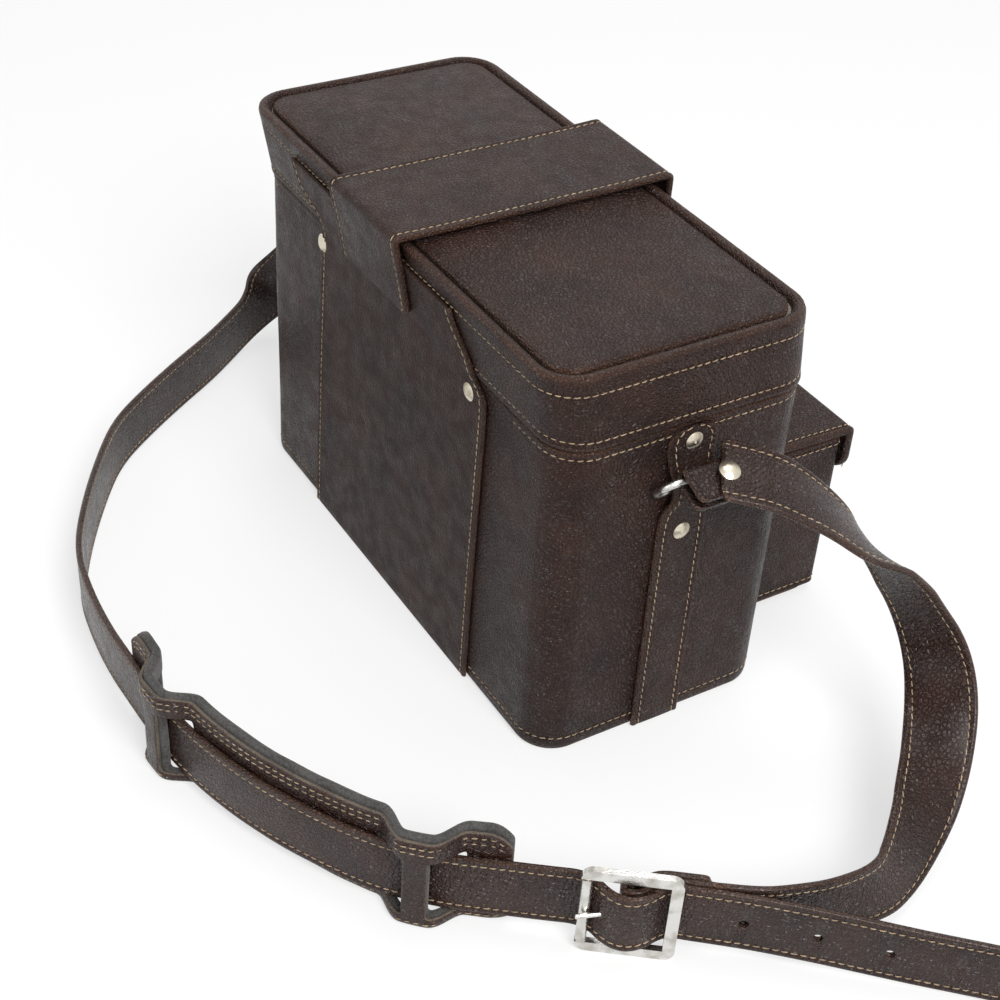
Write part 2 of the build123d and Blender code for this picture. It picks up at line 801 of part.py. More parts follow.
def section_plane(route, stations, shares, share):
    """The plane square to the strap at a share of its length; its X points to the upper edge."""
    last = len(shares) - 2
    index = min(last, max(0, sum(1 for reach in shares if reach <= share) - 1))
    blend = (share - shares[index]) / (shares[index + 1] - shares[index])
    start, end = Vector(*stations[index][1]), Vector(*stations[index + 1][1])
    edge = start * (1 - blend) + end * blend
    tangent = route % share
    edge = edge - tangent * edge.dot(tangent)
    return Plane(route @ share, x_dir=edge, z_dir=tangent)


def band(planes, low, high, offsets, thickness):
    """A flat band on its section planes, between its lower and upper edge on each."""
    sections = []
    for plane, foot, top, offset in zip(planes, low, high, offsets):
        with BuildSketch(plane) as section:
            with Locations(((foot + top) / 2, offset)):
                Rectangle(top - foot, thickness)
        sections.append(section.sketch)
    return sections


def strap_sections(route, stations):
    """The strap's cross-sections at equal steps along its route."""
    shares = station_shares(stations)
    count = math.ceil(route.length / strap_step)
    planes = [section_plane(route, stations, shares, step / count) for step in range(count + 1)]
    low = [-strap_width / 2] * len(planes)
    high = [strap_width / 2] * len(planes)
    return band(planes, low, high, [0.0] * len(planes), strap_thickness)


def strap_band(route, stations):
    """The strap's solid, lofted in short stretches that join face to face."""
    sections = strap_sections(route, stations)
    with BuildPart() as strap:
        for first in range(0, len(sections) - 1, strap_stretch):
            loft(sections[first : first + strap_stretch + 1], ruled=True)
    return strap.part


long_route, long_radii = strap_route(long_stations)
short_route, short_radii = strap_route(short_stations)


def buckle_pin(along, out, foot, top, radius):
    """An upright pin in the buckle, parallel to its centre bar."""
    with BuildPart() as pin:
        with BuildSketch(buckle_plan.offset(-foot)):
            with Locations((along, out)):
                Circle(radius)
        extrude(amount=foot - top)
    return pin.part


# Buckle frame: a rounded window frame whose inner end bar is round under the roller
buckle_plan = Plane(buckle_centre, x_dir=buckle_along, z_dir=(0, 0, -1))
buckle_face = Plane(buckle_centre, x_dir=buckle_along, z_dir=buckle_out)
window_height = buckle_height - 2 * buckle_bar
roller_along = -(buckle_length - buckle_bar) / 2
bar_half = window_height / 2 + buckle_bar / 2
with BuildPart() as buckle_frame:
    with BuildSketch(buckle_face):
        RectangleRounded(buckle_length, buckle_height, buckle_bar)
        Rectangle(buckle_length - 2 * buckle_bar, window_height, mode=Mode.SUBTRACT)
        with Locations((roller_along, 0)):
            Rectangle(2 * buckle_bar, window_height, mode=Mode.SUBTRACT)
    extrude(amount=buckle_thickness / 2, both=True)
    add(buckle_pin(0, -buckle_setback, -bar_half, bar_half, centre_bar_radius))
    add(buckle_pin(roller_along, 0, -bar_half, bar_half, centre_bar_radius))
buckle_frame.part.label = "buckle_frame"
export_step(buckle_frame.part, "parts/buckle_frame.step")

roller_half = window_height / 2 - roller_end_gap
with BuildPart() as buckle_roller:
    add(buckle_pin(roller_along, 0, -roller_half, roller_half, roller_radius))
    add(
        buckle_pin(roller_along, 0, -roller_half, roller_half, centre_bar_radius + roller_play),
        mode=Mode.SUBTRACT,
    )
buckle_roller.part.label = "buckle_roller"
export_step(buckle_roller.part, "parts/buckle_roller.step")

# Prong: an eye on the centre bar, and a straight shaft that rests on the roller
prong_half = prong_eye_width / 2
shaft_rise = roller_radius + prong_radius + rivet_clearance
shaft_angle = math.atan2(buckle_setback, -roller_along) + math.asin(
    shaft_rise / math.hypot(roller_along, buckle_setback)
)
shaft_direction = buckle_out * math.sin(shaft_angle) - buckle_along * math.cos(shaft_angle)
eye_centre = buckle_centre - buckle_out * buckle_setback
shaft_start = (centre_bar_radius + prong_eye_radius) / 2
with BuildPart() as buckle_prong:
    add(buckle_pin(0, -buckle_setback, -prong_half, prong_half, prong_eye_radius))
    with BuildSketch(Plane(eye_centre + shaft_direction * shaft_start, z_dir=shaft_direction)):
        Circle(prong_radius)
    extrude(amount=prong_length - shaft_start)
    fillet(
        buckle_prong.edges().filter_by(GeomType.CIRCLE).sort_by(SortBy.DISTANCE)[-1],
        radius=prong_radius / 2,
    )
    add(
        buckle_pin(0, -buckle_setback, -prong_half, prong_half, centre_bar_radius + roller_play / 2),
        mode=Mode.SUBTRACT,
    )
buckle_prong.part.label = "buckle_prong"
export_step(buckle_prong.part, "parts/buckle_prong.step")

# Fold of the short strap round the centre bar, slotted for the prong's eye
fold_inner = centre_bar_radius + layer_gap + strap_thickness / 2
fold_near = -buckle_setback - fold_inner
fold_outer = -buckle_setback + fold_inner
slot_half = prong_half + prong_slot_gap
with BuildPart() as strap_buckle_fold:
    with BuildSketch(buckle_plan.offset(-strap_width / 2)):
        with BuildLine():
            FilletPolyline(
                (fold_tail, fold_line - strap_thickness - layer_gap),
                (9.5, fold_line - strap_thickness - layer_gap),
                (2.5, fold_near),
                (-fold_inner, fold_near),
                (-fold_inner, fold_outer),
                (2.5, fold_outer),
                (12, fold_line),
                (fold_reach, fold_line),
                radius=[5.0, 4.0, fold_inner - rivet_clearance, fold_inner - rivet_clearance, 4.0, 6.0],
            )
        trace(line_width=strap_thickness)
    extrude(amount=strap_width)
    with BuildSketch(buckle_plan.offset(-slot_half)):
        Rectangle(2 * (fold_inner + strap_thickness), buckle_length)
    extrude(amount=2 * slot_half, mode=Mode.SUBTRACT)
strap_buckle_fold.part.label = "strap_buckle_fold"
export_step(strap_buckle_fold.part, "parts/strap_buckle_fold.step")

# The two free stretches of the strap
with BuildPart() as strap_long:
    add(strap_band(long_route, long_stations))
    with BuildSketch(strap_rivet_seats[1]):
        Circle(rivet_shank_radius + rivet_clearance)
    extrude(amount=-2 * strap_rivet_shank, mode=Mode.SUBTRACT)
    with BuildSketch(buckle_plan.offset(-prong_radius - prong_slot_gap)):
        with Locations((prong_hole_along, 0)):
            Rectangle(prong_hole_length, buckle_bar * 3)
    extrude(amount=2 * (prong_radius + prong_slot_gap), mode=Mode.SUBTRACT)
strap_long.part.label = "strap_long"
export_step(strap_long.part, "parts/strap_long.step")

with BuildPart() as strap_short:
    add(strap_band(short_route, short_stations))
    with BuildSketch(strap_rivet_seats[0]):
        Circle(rivet_shank_radius + rivet_clearance)
    extrude(amount=-2 * strap_rivet_shank, mode=Mode.SUBTRACT)
strap_short.part.label = "strap_short"
export_step(strap_short.part, "parts/strap_short.step")

strap_area = strap_width * strap_thickness
print("strap_long: length", round(long_route.length, 1), "least bend", round(min(long_radii), 1))
print("  volume / (section x length)", round(strap_long.part.volume / strap_area / long_route.length, 4))
print("  bends", [round(radius, 1) for radius in long_radii])
print("strap_short: length", round(short_route.length, 1), "least bend", round(min(short_radii), 1))
print("  volume / (section x length)", round(strap_short.part.volume / strap_area / short_route.length, 4))
print("  bends", [round(radius, 1) for radius in short_radii])

# Shoulder pad: it lies behind the strap at its ends and middle, and its bridges lie in front
pad_behind = -(strap_thickness + pad_leather_thickness) / 2 - layer_gap
pad_shift = strap_thickness + pad_leather_thickness + pad_felt_thickness + 2 * layer_gap
long_shares = station_shares(long_stations)
pad_start_index = [point for point, edge in long_stations].index(pad_start_point)
pad_start = long_shares[pad_start_index] * long_route.length
pad_strap_half = strap_width / 2 + pad_strap_gap


def pad_planes(start, end):
    """Section planes of the strap between two distances along the pad."""
    count = max(2, math.ceil((end - start) / strap_step))
    reaches = [start + (end - start) * step / count for step in range(count + 1)]
    return reaches, [
        section_plane(long_route, long_stations, long_shares, (pad_start + reach) / long_route.length)
        for reach in reaches
    ]


def pad_top(reach):
    """The pad's upper edge above the ground: lowest at its waist, rounded off at its tips."""
    share = abs(2 * reach / pad_length - 1)
    top = pad_waist_top + (pad_end_top - pad_waist_top) * share**2
    tip = max(0.0, 1 - min(reach, pad_length - reach) / pad_tip_length)
    return top - (pad_end_top - pad_tip_top) * tip**2


def pad_layer(behind, thickness):
    """One layer of the pad: full plates between the slits, and two rails past each slit."""
    with BuildPart() as layer:
        edge = 0.0
        in_front = False
        for slit in (*pad_slits, pad_length + pad_weave):
            start, end = edge, min(slit - pad_weave, pad_length)
            offset = behind + pad_shift * in_front
            reaches, planes = pad_planes(start, end)
            low = [pad_foot - plane.origin.Z for plane in planes]
            high = [pad_top(reach) - plane.origin.Z for reach, plane in zip(reaches, planes)]
            loft(band(planes, low, high, [offset] * len(planes), thickness), ruled=True)
            if end < pad_length:
                start, end = end, slit + pad_weave
                reaches, planes = pad_planes(start, end)
                low = [pad_foot - plane.origin.Z for plane in planes]
                high = [pad_top(reach) - plane.origin.Z for reach, plane in zip(reaches, planes)]
                turn = -pad_shift if in_front else pad_shift
                offsets = [offset + turn * (reach - start) / (end - start) for reach in reaches]
                inner = [pad_strap_half] * len(planes)
                outer = [-pad_strap_half] * len(planes)
                loft(band(planes, low, outer, offsets, thickness), ruled=True)
                loft(band(planes, inner, high, offsets, thickness), ruled=True)
                in_front = not in_front
            edge = end
    return layer.part


with BuildPart() as pad_leather:
    add(pad_layer(pad_behind, pad_leather_thickness))
pad_leather.part.label = "pad_leather"
export_step(pad_leather.part, "parts/pad_leather.step")

felt_behind = pad_behind - (pad_leather_thickness + pad_felt_thickness) / 2
with BuildPart() as pad_felt:
    add(pad_layer(felt_behind, pad_felt_thickness))
pad_felt.part.label = "pad_felt"
export_step(pad_felt.part, "parts/pad_felt.step")
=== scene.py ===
"""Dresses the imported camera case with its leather, lining, strap, pad and metal.

Sizes in the classes are in millimetres; every mesh is made in metres.
"""

import logging
import math
from dataclasses import dataclass
from enum import Enum
from typing import Callable, Optional, Sequence

import bmesh
import bpy
from mathutils import Matrix, Vector, noise


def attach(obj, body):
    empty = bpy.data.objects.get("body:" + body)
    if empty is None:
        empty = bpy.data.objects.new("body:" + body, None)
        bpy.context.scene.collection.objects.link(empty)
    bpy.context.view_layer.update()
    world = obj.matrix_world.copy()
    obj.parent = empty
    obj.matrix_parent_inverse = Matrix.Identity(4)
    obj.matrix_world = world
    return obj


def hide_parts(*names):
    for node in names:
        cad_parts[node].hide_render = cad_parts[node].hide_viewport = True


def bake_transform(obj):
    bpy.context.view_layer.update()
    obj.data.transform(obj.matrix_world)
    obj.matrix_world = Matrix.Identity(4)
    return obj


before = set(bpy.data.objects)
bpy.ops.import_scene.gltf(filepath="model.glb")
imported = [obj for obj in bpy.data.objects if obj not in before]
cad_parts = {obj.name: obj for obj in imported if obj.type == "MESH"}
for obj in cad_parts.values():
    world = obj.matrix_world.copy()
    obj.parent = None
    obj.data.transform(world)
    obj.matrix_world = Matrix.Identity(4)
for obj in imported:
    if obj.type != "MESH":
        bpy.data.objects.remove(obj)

MM = 0.001
Point = tuple[float, float, float]
UP: Point = (0, 0, 1)
# From the edge of a leather piece to its seam
SEAM_INSET = 3.2
# The radius of an end that is cut square
SQUARE_END = 0.1
# The buckle seen from above: its middle, the way along the strap and the way out of its face
BUCKLE_CENTRE = (-221.0, 78.0)
BUCKLE_ALONG = (-0.6, -0.8)
BUCKLE_OUT = (-0.8, 0.6)
log = logging.getLogger("camera_case")


# Finishes
class Shader:
    """A procedural material under construction, with its principled shader."""

    def __init__(self, name: str) -> None:
        """Start an empty node tree with one principled shader and object coordinates."""
        self.material = bpy.data.materials.new(name)
        self.material.use_nodes = True
        self.tree = self.material.node_tree
        self.tree.nodes.clear()
        self.surface = self.add("ShaderNodeBsdfPrincipled", {})
        output = self.add("ShaderNodeOutputMaterial", {})
        self.tree.links.new(self.surface.outputs[0], output.inputs["Surface"])
        self.place = self.add("ShaderNodeTexCoord", {}).outputs["Object"]

    def add(self, kind: str, inputs: dict, **settings: object) -> bpy.types.Node:
        """Add a node.

        Args:
            kind: Blender's name of the node type.
            inputs: Socket name or index to a value or to a socket that feeds it.
            settings: Attributes of the node, set before its inputs.

        Returns:
            The new node.
        """
        node = self.tree.nodes.new(kind)
        for key, value in settings.items():
            setattr(node, key, value)
        for key, value in inputs.items():
            if isinstance(value, bpy.types.NodeSocket):
                self.tree.links.new(value, node.inputs[key])
            else:
                node.inputs[key].default_value = value
        return node

    def noise(self, scale: float, detail: float = 3.0, kind: str = "FBM") -> bpy.types.NodeSocket:
        """Add a noise in object space.

        Args:
            scale: Its waves in a metre.
            detail: How many finer layers it has.
            kind: Blender's name of the noise type.

        Returns:
            The noise's height.
        """
        node = self.add(
            "ShaderNodeTexNoise",
            {"Vector": self.place, "Scale": scale, "Detail": detail},
            noise_type=kind,
        )
        return node.outputs[0]

    def ranged(
        self, value: bpy.types.NodeSocket, low: float, high: float, out_low: float, out_high: float
    ) -> bpy.types.NodeSocket:
        """Map a value's range to another, clamped.

        Args:
            value: The socket to map.
            low: The value that gives out_low.
            high: The value that gives out_high.
            out_low: The result at the low end.
            out_high: The result at the high end.

        Returns:
            The mapped value.
        """
        node = self.add(
            "ShaderNodeMapRange",
            {"Value": value, "From Min": low, "From Max": high, "To Min": out_low, "To Max": out_high},
        )
        return node.outputs[0]

    def sums(self, *terms: tuple[bpy.types.NodeSocket, float]) -> bpy.types.NodeSocket:
        """Add sockets up.

        Args:
            terms: Each socket with its weight.

        Returns:
            The weighted sum.
        """
        total: Optional[bpy.types.NodeSocket] = None
        for socket, weight in terms:
            inputs: dict = {0: socket, 1: weight, 2: 0.0 if total is None else total}
            total = self.add("ShaderNodeMath", inputs, operation="MULTIPLY_ADD").outputs[0]
        return total

    def mix(self, share: bpy.types.NodeSocket, first: object, second: object) -> bpy.types.NodeSocket:
        """Mix two colours by a share."""
        node = self.add("ShaderNodeMix", {0: share, 6: first, 7: second}, data_type="RGBA")
        return node.outputs[2]

    def finish(
        self, colour: object, roughness: object, height: Optional[object], depth: float, **values: float
    ) -> bpy.types.Material:
        """Feed the principled shader.

        Args:
            colour: Colour socket or value.
            roughness: Roughness socket or value.
            height: Height socket of the bump, or None.
            depth: Bump distance in metres.
            values: Other sockets of the shader, by name with underscores for spaces.

        Returns:
            The finished material.
        """
        wanted: dict = {"Base Color": colour, "Roughness": roughness}
        wanted.update({key.replace("_", " "): value for key, value in values.items()})
        if height is not None:
            bump = self.add("ShaderNodeBump", {"Height": height, "Strength": 1.0, "Distance": depth})
            wanted["Normal"] = bump.outputs[0]
        for key, value in wanted.items():
            if isinstance(value, bpy.types.NodeSocket):
                self.tree.links.new(value, self.surface.inputs[key])
            else:
                self.surface.inputs[key].default_value = value
        return self.material


@dataclass(frozen=True)
class LeatherFinish:
    """Crackled, pebbled leatherette with painted highlights on its creases, painted shade in its grain
    grooves and paler worn edges.
    """

    name: str
    dark: tuple = (0.0090, 0.0032, 0.0022, 1)
    light: tuple = (0.038, 0.0145, 0.0090, 1)
    # Pale colour of the painted highlights on the creases, also used for the worn edges.
    highlight_and_wear: tuple = (0.21, 0.115, 0.075, 1)
    grains: float = 620.0
    fine_grains: float = 1900.0
    patches: float = 46.0
    folds: float = 135.0
    gloss_patches: float = 120.0
    warp: float = 240.0
    warp_reach: float = 0.0022
    relief: float = 0.0009
    specular: float = 0.22
    coat_rough: float = 0.28
    smooth: float = 0.30
    rough: float = 0.46
    coat: float = 0.0

    def build(self) -> bpy.types.Material:
        """Make the material.

        Returns:
            Leather with cells, fine grain, broad patches, wandering creases with painted highlights, painted
            shade in the cell grooves and paler worn edges.
        """
        shader = Shader(self.name)
        warp = shader.add(
            "ShaderNodeTexNoise", {"Vector": shader.place, "Scale": self.warp, "Detail": 2.0}
        ).outputs[1]
        reach = (self.warp_reach, self.warp_reach, self.warp_reach)
        bent = shader.add(
            "ShaderNodeVectorMath", {0: warp, 1: reach, 2: shader.place},
            operation="MULTIPLY_ADD",
        ).outputs[0]
        cells = shader.add(
            "ShaderNodeTexVoronoi", {"Vector": bent, "Scale": self.grains}, feature="DISTANCE_TO_EDGE"
        ).outputs[0]
        pebble = shader.ranged(cells, 0.0, 0.22, 0.0, 1.0)
        fine = shader.noise(self.fine_grains, 2.0)
        broad = shader.noise(self.patches, 4.0)
        folds = shader.noise(self.folds, 4.0, "RIDGED_MULTIFRACTAL")
        crackle = shader.ranged(folds, 0.62, 1.15, 0.0, 1.0)
        height = shader.sums((pebble, 0.6), (fine, 0.2), (crackle, 0.5), (broad, 0.8))
        tone = shader.mix(shader.ranged(broad, 0.2, 0.8, 0.0, 1.0), self.dark, self.light)
        # Painted shade: the cell edges, the grooves of the grain, are darkened towards the dark tone.
        painted_groove_shade = shader.mix(shader.ranged(cells, 0.0, 0.09, 0.45, 0.0), tone, self.dark)
        # Painted highlight: the crackled creases are lightened towards the pale highlight colour.
        colour_with_painted_highlights = shader.mix(shader.sums((crackle, 0.5)), painted_groove_shade, self.highlight_and_wear)
        # Wear: sharp edges are lightened with the same pale colour.
        worn = shader.add("ShaderNodeNewGeometry", {}).outputs["Pointiness"]
        edge = shader.ranged(worn, 0.53, 0.62, 0.0, 0.55)
        colour = shader.mix(edge, colour_with_painted_highlights, self.highlight_and_wear)
        gloss = shader.noise(self.gloss_patches, 3.0)
        roughness = shader.ranged(gloss, 0.35, 0.65, self.smooth, self.rough)
        return shader.finish(
            colour, roughness, height, self.relief, Coat_Weight=self.coat,
            Coat_Roughness=self.coat_rough, Specular_IOR_Level=self.specular,
        )


@dataclass(frozen=True)
class FibreFinish:
    """Thread, felt, cloth lining, raw edge or board: a matt, fibrous surface."""

    name: str
    dark: tuple
    light: tuple
    fibres: float = 1800.0
    depth: float = 0.00025
    sheen: float = 0.0
    patches: float = 90.0

    def build(self) -> bpy.types.Material:
        """Make the material.

        Returns:
            A matt surface of short fibres with soft patches.
        """
        shader = Shader(self.name)
        strands = shader.noise(self.fibres, 3.0)
        patches = shader.noise(self.patches, 2.0)
        share = shader.ranged(shader.sums((strands, 0.6), (patches, 0.4)), 0.38, 0.62, 0.0, 1.0)
        colour = shader.mix(share, self.dark, self.light)
        return shader.finish(
            colour, shader.ranged(patches, 0.3, 0.7, 0.78, 0.95), strands, self.depth,
            Sheen_Weight=self.sheen,
        )


@dataclass(frozen=True)
class MetalFinish:
    """Plated metal with fine scratches and dull patches."""

    name: str
    bright: tuple
    dull: tuple
    rough: float = 0.2
    patches: float = 160.0
    pits: float = 1300.0
    relief: float = 0.00006

    def build(self) -> bpy.types.Material:
        """Make the material.

        Returns:
            Metal with dull patches and small pits.
        """
        shader = Shader(self.name)
        patches = shader.noise(self.patches, 4.0)
        pits = shader.noise(self.pits, 3.0)
        share = shader.ranged(patches, 0.45, 0.7, 0.0, 1.0)
        colour = shader.mix(share, self.bright, self.dull)
        roughness = shader.ranged(patches, 0.35, 0.7, self.rough, self.rough + 0.25)
        return shader.finish(colour, roughness, pits, self.relief, Metallic=1.0)


class Finish(Enum):
    """Every finish on the case, with its material slot name."""

    LEATHER = ("leather", LeatherFinish("case_leatherette"))
    BACK_LEATHER = ("leather", LeatherFinish("back_leatherette", smooth=0.42, rough=0.6))
    STRAP_LEATHER = (
        "strap_leather",
        LeatherFinish("strap_leatherette", grains=540.0, smooth=0.19, rough=0.35, coat=0.2),
    )
    THREAD = (
        "strap_leather",
        FibreFinish("cream_thread", (0.20, 0.135, 0.080, 1), (0.42, 0.32, 0.21, 1)),
    )
    RAW = ("felt", FibreFinish("raw_edge", (0.035, 0.027, 0.021, 1), (0.13, 0.105, 0.080, 1)))
    FELT = (
        "felt",
        FibreFinish(
            "grey_felt", (0.020, 0.018, 0.017, 1), (0.070, 0.066, 0.062, 1), 1100.0, 0.0006, 0.15
        ),
    )
    LINING = ("lining", FibreFinish("cloth_lining", (0.030, 0.022, 0.018, 1), (0.085, 0.065, 0.052, 1)))
    BOARD = ("board", FibreFinish("grey_board", (0.12, 0.10, 0.08, 1), (0.25, 0.21, 0.17, 1)))
    NICKEL = ("nickel", MetalFinish("worn_nickel", (0.70, 0.69, 0.66, 1), (0.42, 0.40, 0.36, 1), 0.16))
    STUD = (
        "stud_metal",
        MetalFinish("aged_stud_metal", (0.66, 0.60, 0.48, 1), (0.30, 0.25, 0.18, 1), 0.24),
    )

    @property
    def slot(self) -> str:
        """The finish's material slot name."""
        return self.value[0]


class Wardrobe:
    """Makes each finish once and hands it out."""

    def __init__(self) -> None:
        """Start with no material made."""
        self.made: dict[Finish, bpy.types.Material] = {}

    def take(self, finish: Finish) -> bpy.types.Material:
        """The material of a finish."""
        if finish not in self.made:
            self.made[finish] = finish.value[1].build()
        return self.made[finish]

    def dress(self, finish: Finish, *nodes: str) -> None:
        """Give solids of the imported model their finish, through their material slots.

        Args:
            finish: The finish.
            nodes: The solids' names.
        """
        for name in nodes:
            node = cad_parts[name]
            if not node.material_slots:
                node.data.materials.append(self.take(finish))
            for material_slot in node.material_slots:
                material_slot.material = self.take(finish)


# Mesh tools
@dataclass(frozen=True)
class Station:
    """A place along a band, with the way across it and the way out of its face."""

    place: Vector
    across: Vector
    out: Vector


@dataclass
class Workshop:
    """Makes pieces from rings and bands and sets them on their body."""

    wardrobe: Wardrobe

    def piece(
        self,
        name: str,
        points: Sequence[Vector],
        faces: Sequence[tuple],
        finish: Finish,
        body: Optional[str] = "case",
        nodes: Sequence[str] = (),
    ) -> bpy.types.Object:
        """Make one mesh piece.

        Args:
            name: The piece's name.
            points: Its points in millimetres.
            faces: Its faces by point number.
            finish: Its finish.
            body: The body that carries it, or None.
            nodes: The solids that it stands for.

        Returns:
            The new object.
        """
        mesh = bpy.data.meshes.new(name)
        mesh.from_pydata([Vector(point) * MM for point in points], [], faces)
        form = bmesh.new()
        form.from_mesh(mesh)
        bmesh.ops.recalc_face_normals(form, faces=form.faces)
        form.to_mesh(mesh)
        form.free()
        for polygon in mesh.polygons:
            polygon.use_smooth = True
        mesh.materials.append(self.wardrobe.take(finish))
        made = bpy.data.objects.new(name, mesh)
        bpy.context.scene.collection.objects.link(made)
        if body:
            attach(made, body)
        if nodes:
            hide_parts(*nodes)
        log.info("%s: %d points", name, len(points))
        return made

    def band(
        self,
        name: str,
        stations: Sequence[Station],
        width: Callable[[float, float], float],
        thickness: float,
        finish: Finish,
        body: Optional[str] = "case",
        nodes: Sequence[str] = (),
    ) -> bpy.types.Object:
        """Make a leather band with rolled edges along its stations.

        Args:
            name: The piece's name.
            stations: The band's middle line.
            width: Half its width, from the distance to its start and to its end.
            thickness: Its thickness.
            finish: Its finish.
            body: The body that carries it, or None.
            nodes: The solids that it stands for.

        Returns:
            The new object.
        """
        reached = distances([station.place for station in stations])
        rings = []
        for station, reach in zip(stations, reached):
            half = width(reach, reached[-1] - reach)
            rings.append(
                [
                    station.place + station.across * across + station.out * out
                    for across, out in band_section(half, thickness)
                ]
            )
        points, faces = skin(rings)
        return self.piece(name, points, faces, finish, body, nodes)

    def stitches(
        self,
        name: str,
        lines: Sequence[Sequence[tuple[Vector, Vector]]],
        body: Optional[str] = "case",
        pitch: float = 3.4,
    ) -> bpy.types.Object:
        """Sew short raised stitches along lines.

        Args:
            name: The piece's name.
            lines: Each line as places with the way out of the surface.
            body: The body that carries them, or None.
            pitch: Distance from stitch to stitch.

        Returns:
            One object with every stitch.
        """
        points: list[Vector] = []
        faces: list[tuple] = []
        for line in lines:
            for place, along, out in even_steps(line, pitch):
                sew(points, faces, place, along, out, len(points))
        return self.piece(name, points, faces, Finish.THREAD, body)


def band_section(half: float, thickness: float) -> list[tuple[float, float]]:
    """A band's cross-section: rolled edges, a sewn channel inside them, a flat middle.

    Args:
        half: Half the band's width.
        thickness: Its thickness.

    Returns:
        The same number of points for every band, as across and out.
    """
    inset = min(1.0, half / 5.0)
    rise = thickness / 2
    edge = [(0.0, 0.0), (0.3, 0.72), (0.9, 1.10), (1.7, 1.12), (2.5, 0.92), (3.2, 0.84), (4.3, 1.0)]
    top = [(half - step * inset, lift * rise) for step, lift in edge] + [(0.0, rise * 1.04)]
    top += [(-across, out) for across, out in reversed(top[:-1])]
    return top + [(across, -out) for across, out in reversed(top[1:-1])]


def skin(rings: Sequence[Sequence[Vector]], loop: bool = False) -> tuple[list[Vector], list[tuple]]:
    """Join equal rings into a closed skin.

    Args:
        rings: The rings.
        loop: Whether the last ring joins the first; otherwise both ends are capped.

    Returns:
        The points and the faces.
    """
    count = len(rings[0])
    points = [point for ring in rings for point in ring]
    faces: list[tuple] = []
    for row in range(len(rings) if loop else len(rings) - 1):
        here, there = row * count, (row + 1) % len(rings) * count
        for step in range(count):
            after = (step + 1) % count
            faces.append((here + step, here + after, there + after, there + step))
    if not loop:
        faces.append(tuple(range(count)))
        faces.append(tuple(range(len(points) - count, len(points))))
    return points, faces


def distances(line: Sequence[Vector]) -> list[float]:
    """Measure a line.

    Args:
        line: Its points.

    Returns:
        The distance from its start to each of its points.
    """
    reached = [0.0]
    for start, end in zip(line, line[1:]):
        reached.append(reached[-1] + (end - start).length)
    return reached


def even_steps(
    line: Sequence[tuple[Vector, Vector]], pitch: float
) -> list[tuple[Vector, Vector, Vector]]:
    """Step evenly along a line.

    Args:
        line: Places with the way out of the surface.
        pitch: The step, which gives a little so that the steps fill the line.

    Returns:
        Each step's place, the way along and the way out.
    """
    reached = distances([place for place, _ in line])
    count = max(1, round(reached[-1] / pitch))
    steps = []
    index = 0
    for number in range(count):
        goal = (number + 0.5) * reached[-1] / count
        while index < len(line) - 2 and reached[index + 1] < goal:
            index += 1
        (start, start_out), (end, end_out) = line[index], line[index + 1]
        share = (goal - reached[index]) / max(1e-6, reached[index + 1] - reached[index])
        along = (end - start).normalized()
        steps.append((start.lerp(end, share), along, start_out.lerp(end_out, share).normalized()))
    return steps


def sew(
    points: list[Vector], faces: list[tuple], place: Vector, along: Vector, out: Vector, number: int
) -> None:
    """Add one stitch to a mesh.

    Args:
        points: The mesh's points, which grow.
        faces: The mesh's faces, which grow.
        place: The stitch's middle on the surface.
        along: The way along the seam.
        out: The way out of the surface.
        number: The number that varies its slant and length.
    """
    side = out.cross(along).normalized()
    slant = 0.10 + 0.05 * math.sin(number * 1.7)
    along = (along + side * slant).normalized()
    side = out.cross(along).normalized()
    half = 1.25 + 0.1 * math.sin(number * 0.9)
    first = len(points)
    for reach, girth in ((-1.0, 0.35), (-0.7, 0.85), (0.0, 1.0), (0.7, 0.85), (1.0, 0.35)):
        middle = place + along * half * reach + out * (0.08 - 0.2 * reach * reach)
        for turn in range(6):
            angle = turn * math.pi / 3
            points.append(
                middle + side * (0.3 * girth * math.cos(angle)) + out * (0.24 * girth * math.sin(angle))
            )
    for row in range(4):
        for turn in range(6):
            here, after = first + row * 6 + turn, first + row * 6 + (turn + 1) % 6
            faces.append((here, after, after + 6, here + 6))
    faces.append(tuple(first + turn for turn in range(6)))
    faces.append(tuple(first + 24 + turn for turn in range(6)))


def smooth_line(points: Sequence[Point], resolution: int = 10) -> list[Vector]:
    """Read points from a smooth spline.

    Args:
        points: The spline's control points.
        resolution: How many points are read between two control points.

    Returns:
        The points on the spline.
    """
    data = bpy.data.curves.new("line", "CURVE")
    data.dimensions = "3D"
    data.resolution_u = resolution
    spline = data.splines.new("NURBS")
    spline.points.add(len(points) - 1)
    for knot, point in zip(spline.points, points):
        knot.co = (*(value * MM for value in point), 1.0)
    spline.order_u = 3
    spline.use_endpoint_u = True
    holder = bpy.data.objects.new("line", data)
    mesh = bpy.data.meshes.new_from_object(holder)
    line = [vertex.co / MM for vertex in mesh.vertices]
    bpy.data.objects.remove(holder)
    bpy.data.curves.remove(data)
    bpy.data.meshes.remove(mesh)
    return line


def stations_along(line: Sequence[Vector], edges: Sequence[Vector]) -> list[Station]:
    """Set stations on a line.

    Args:
        line: Its points.
        edges: The rough way across at each point, which is squared to the line.

    Returns:
        A station for each point.
    """
    made = []
    for index, place in enumerate(line):
        before, after = line[max(0, index - 1)], line[min(len(line) - 1, index + 1)]
        along = (after - before).normalized()
        across = (edges[index] - along * edges[index].dot(along)).normalized()
        made.append(Station(place, across, along.cross(across)))
    return made


def flat_band(points: Sequence[Point], across: Point, resolution: int = 10) -> list[Station]:
    """Set stations for a band whose width lies the same way everywhere.

    Args:
        points: The control points of its middle line.
        across: The way across it.
        resolution: How many points are read between two control points.

    Returns:
        The band's stations.
    """
    line = smooth_line(points, resolution)
    return stations_along(line, [Vector(across)] * len(line))


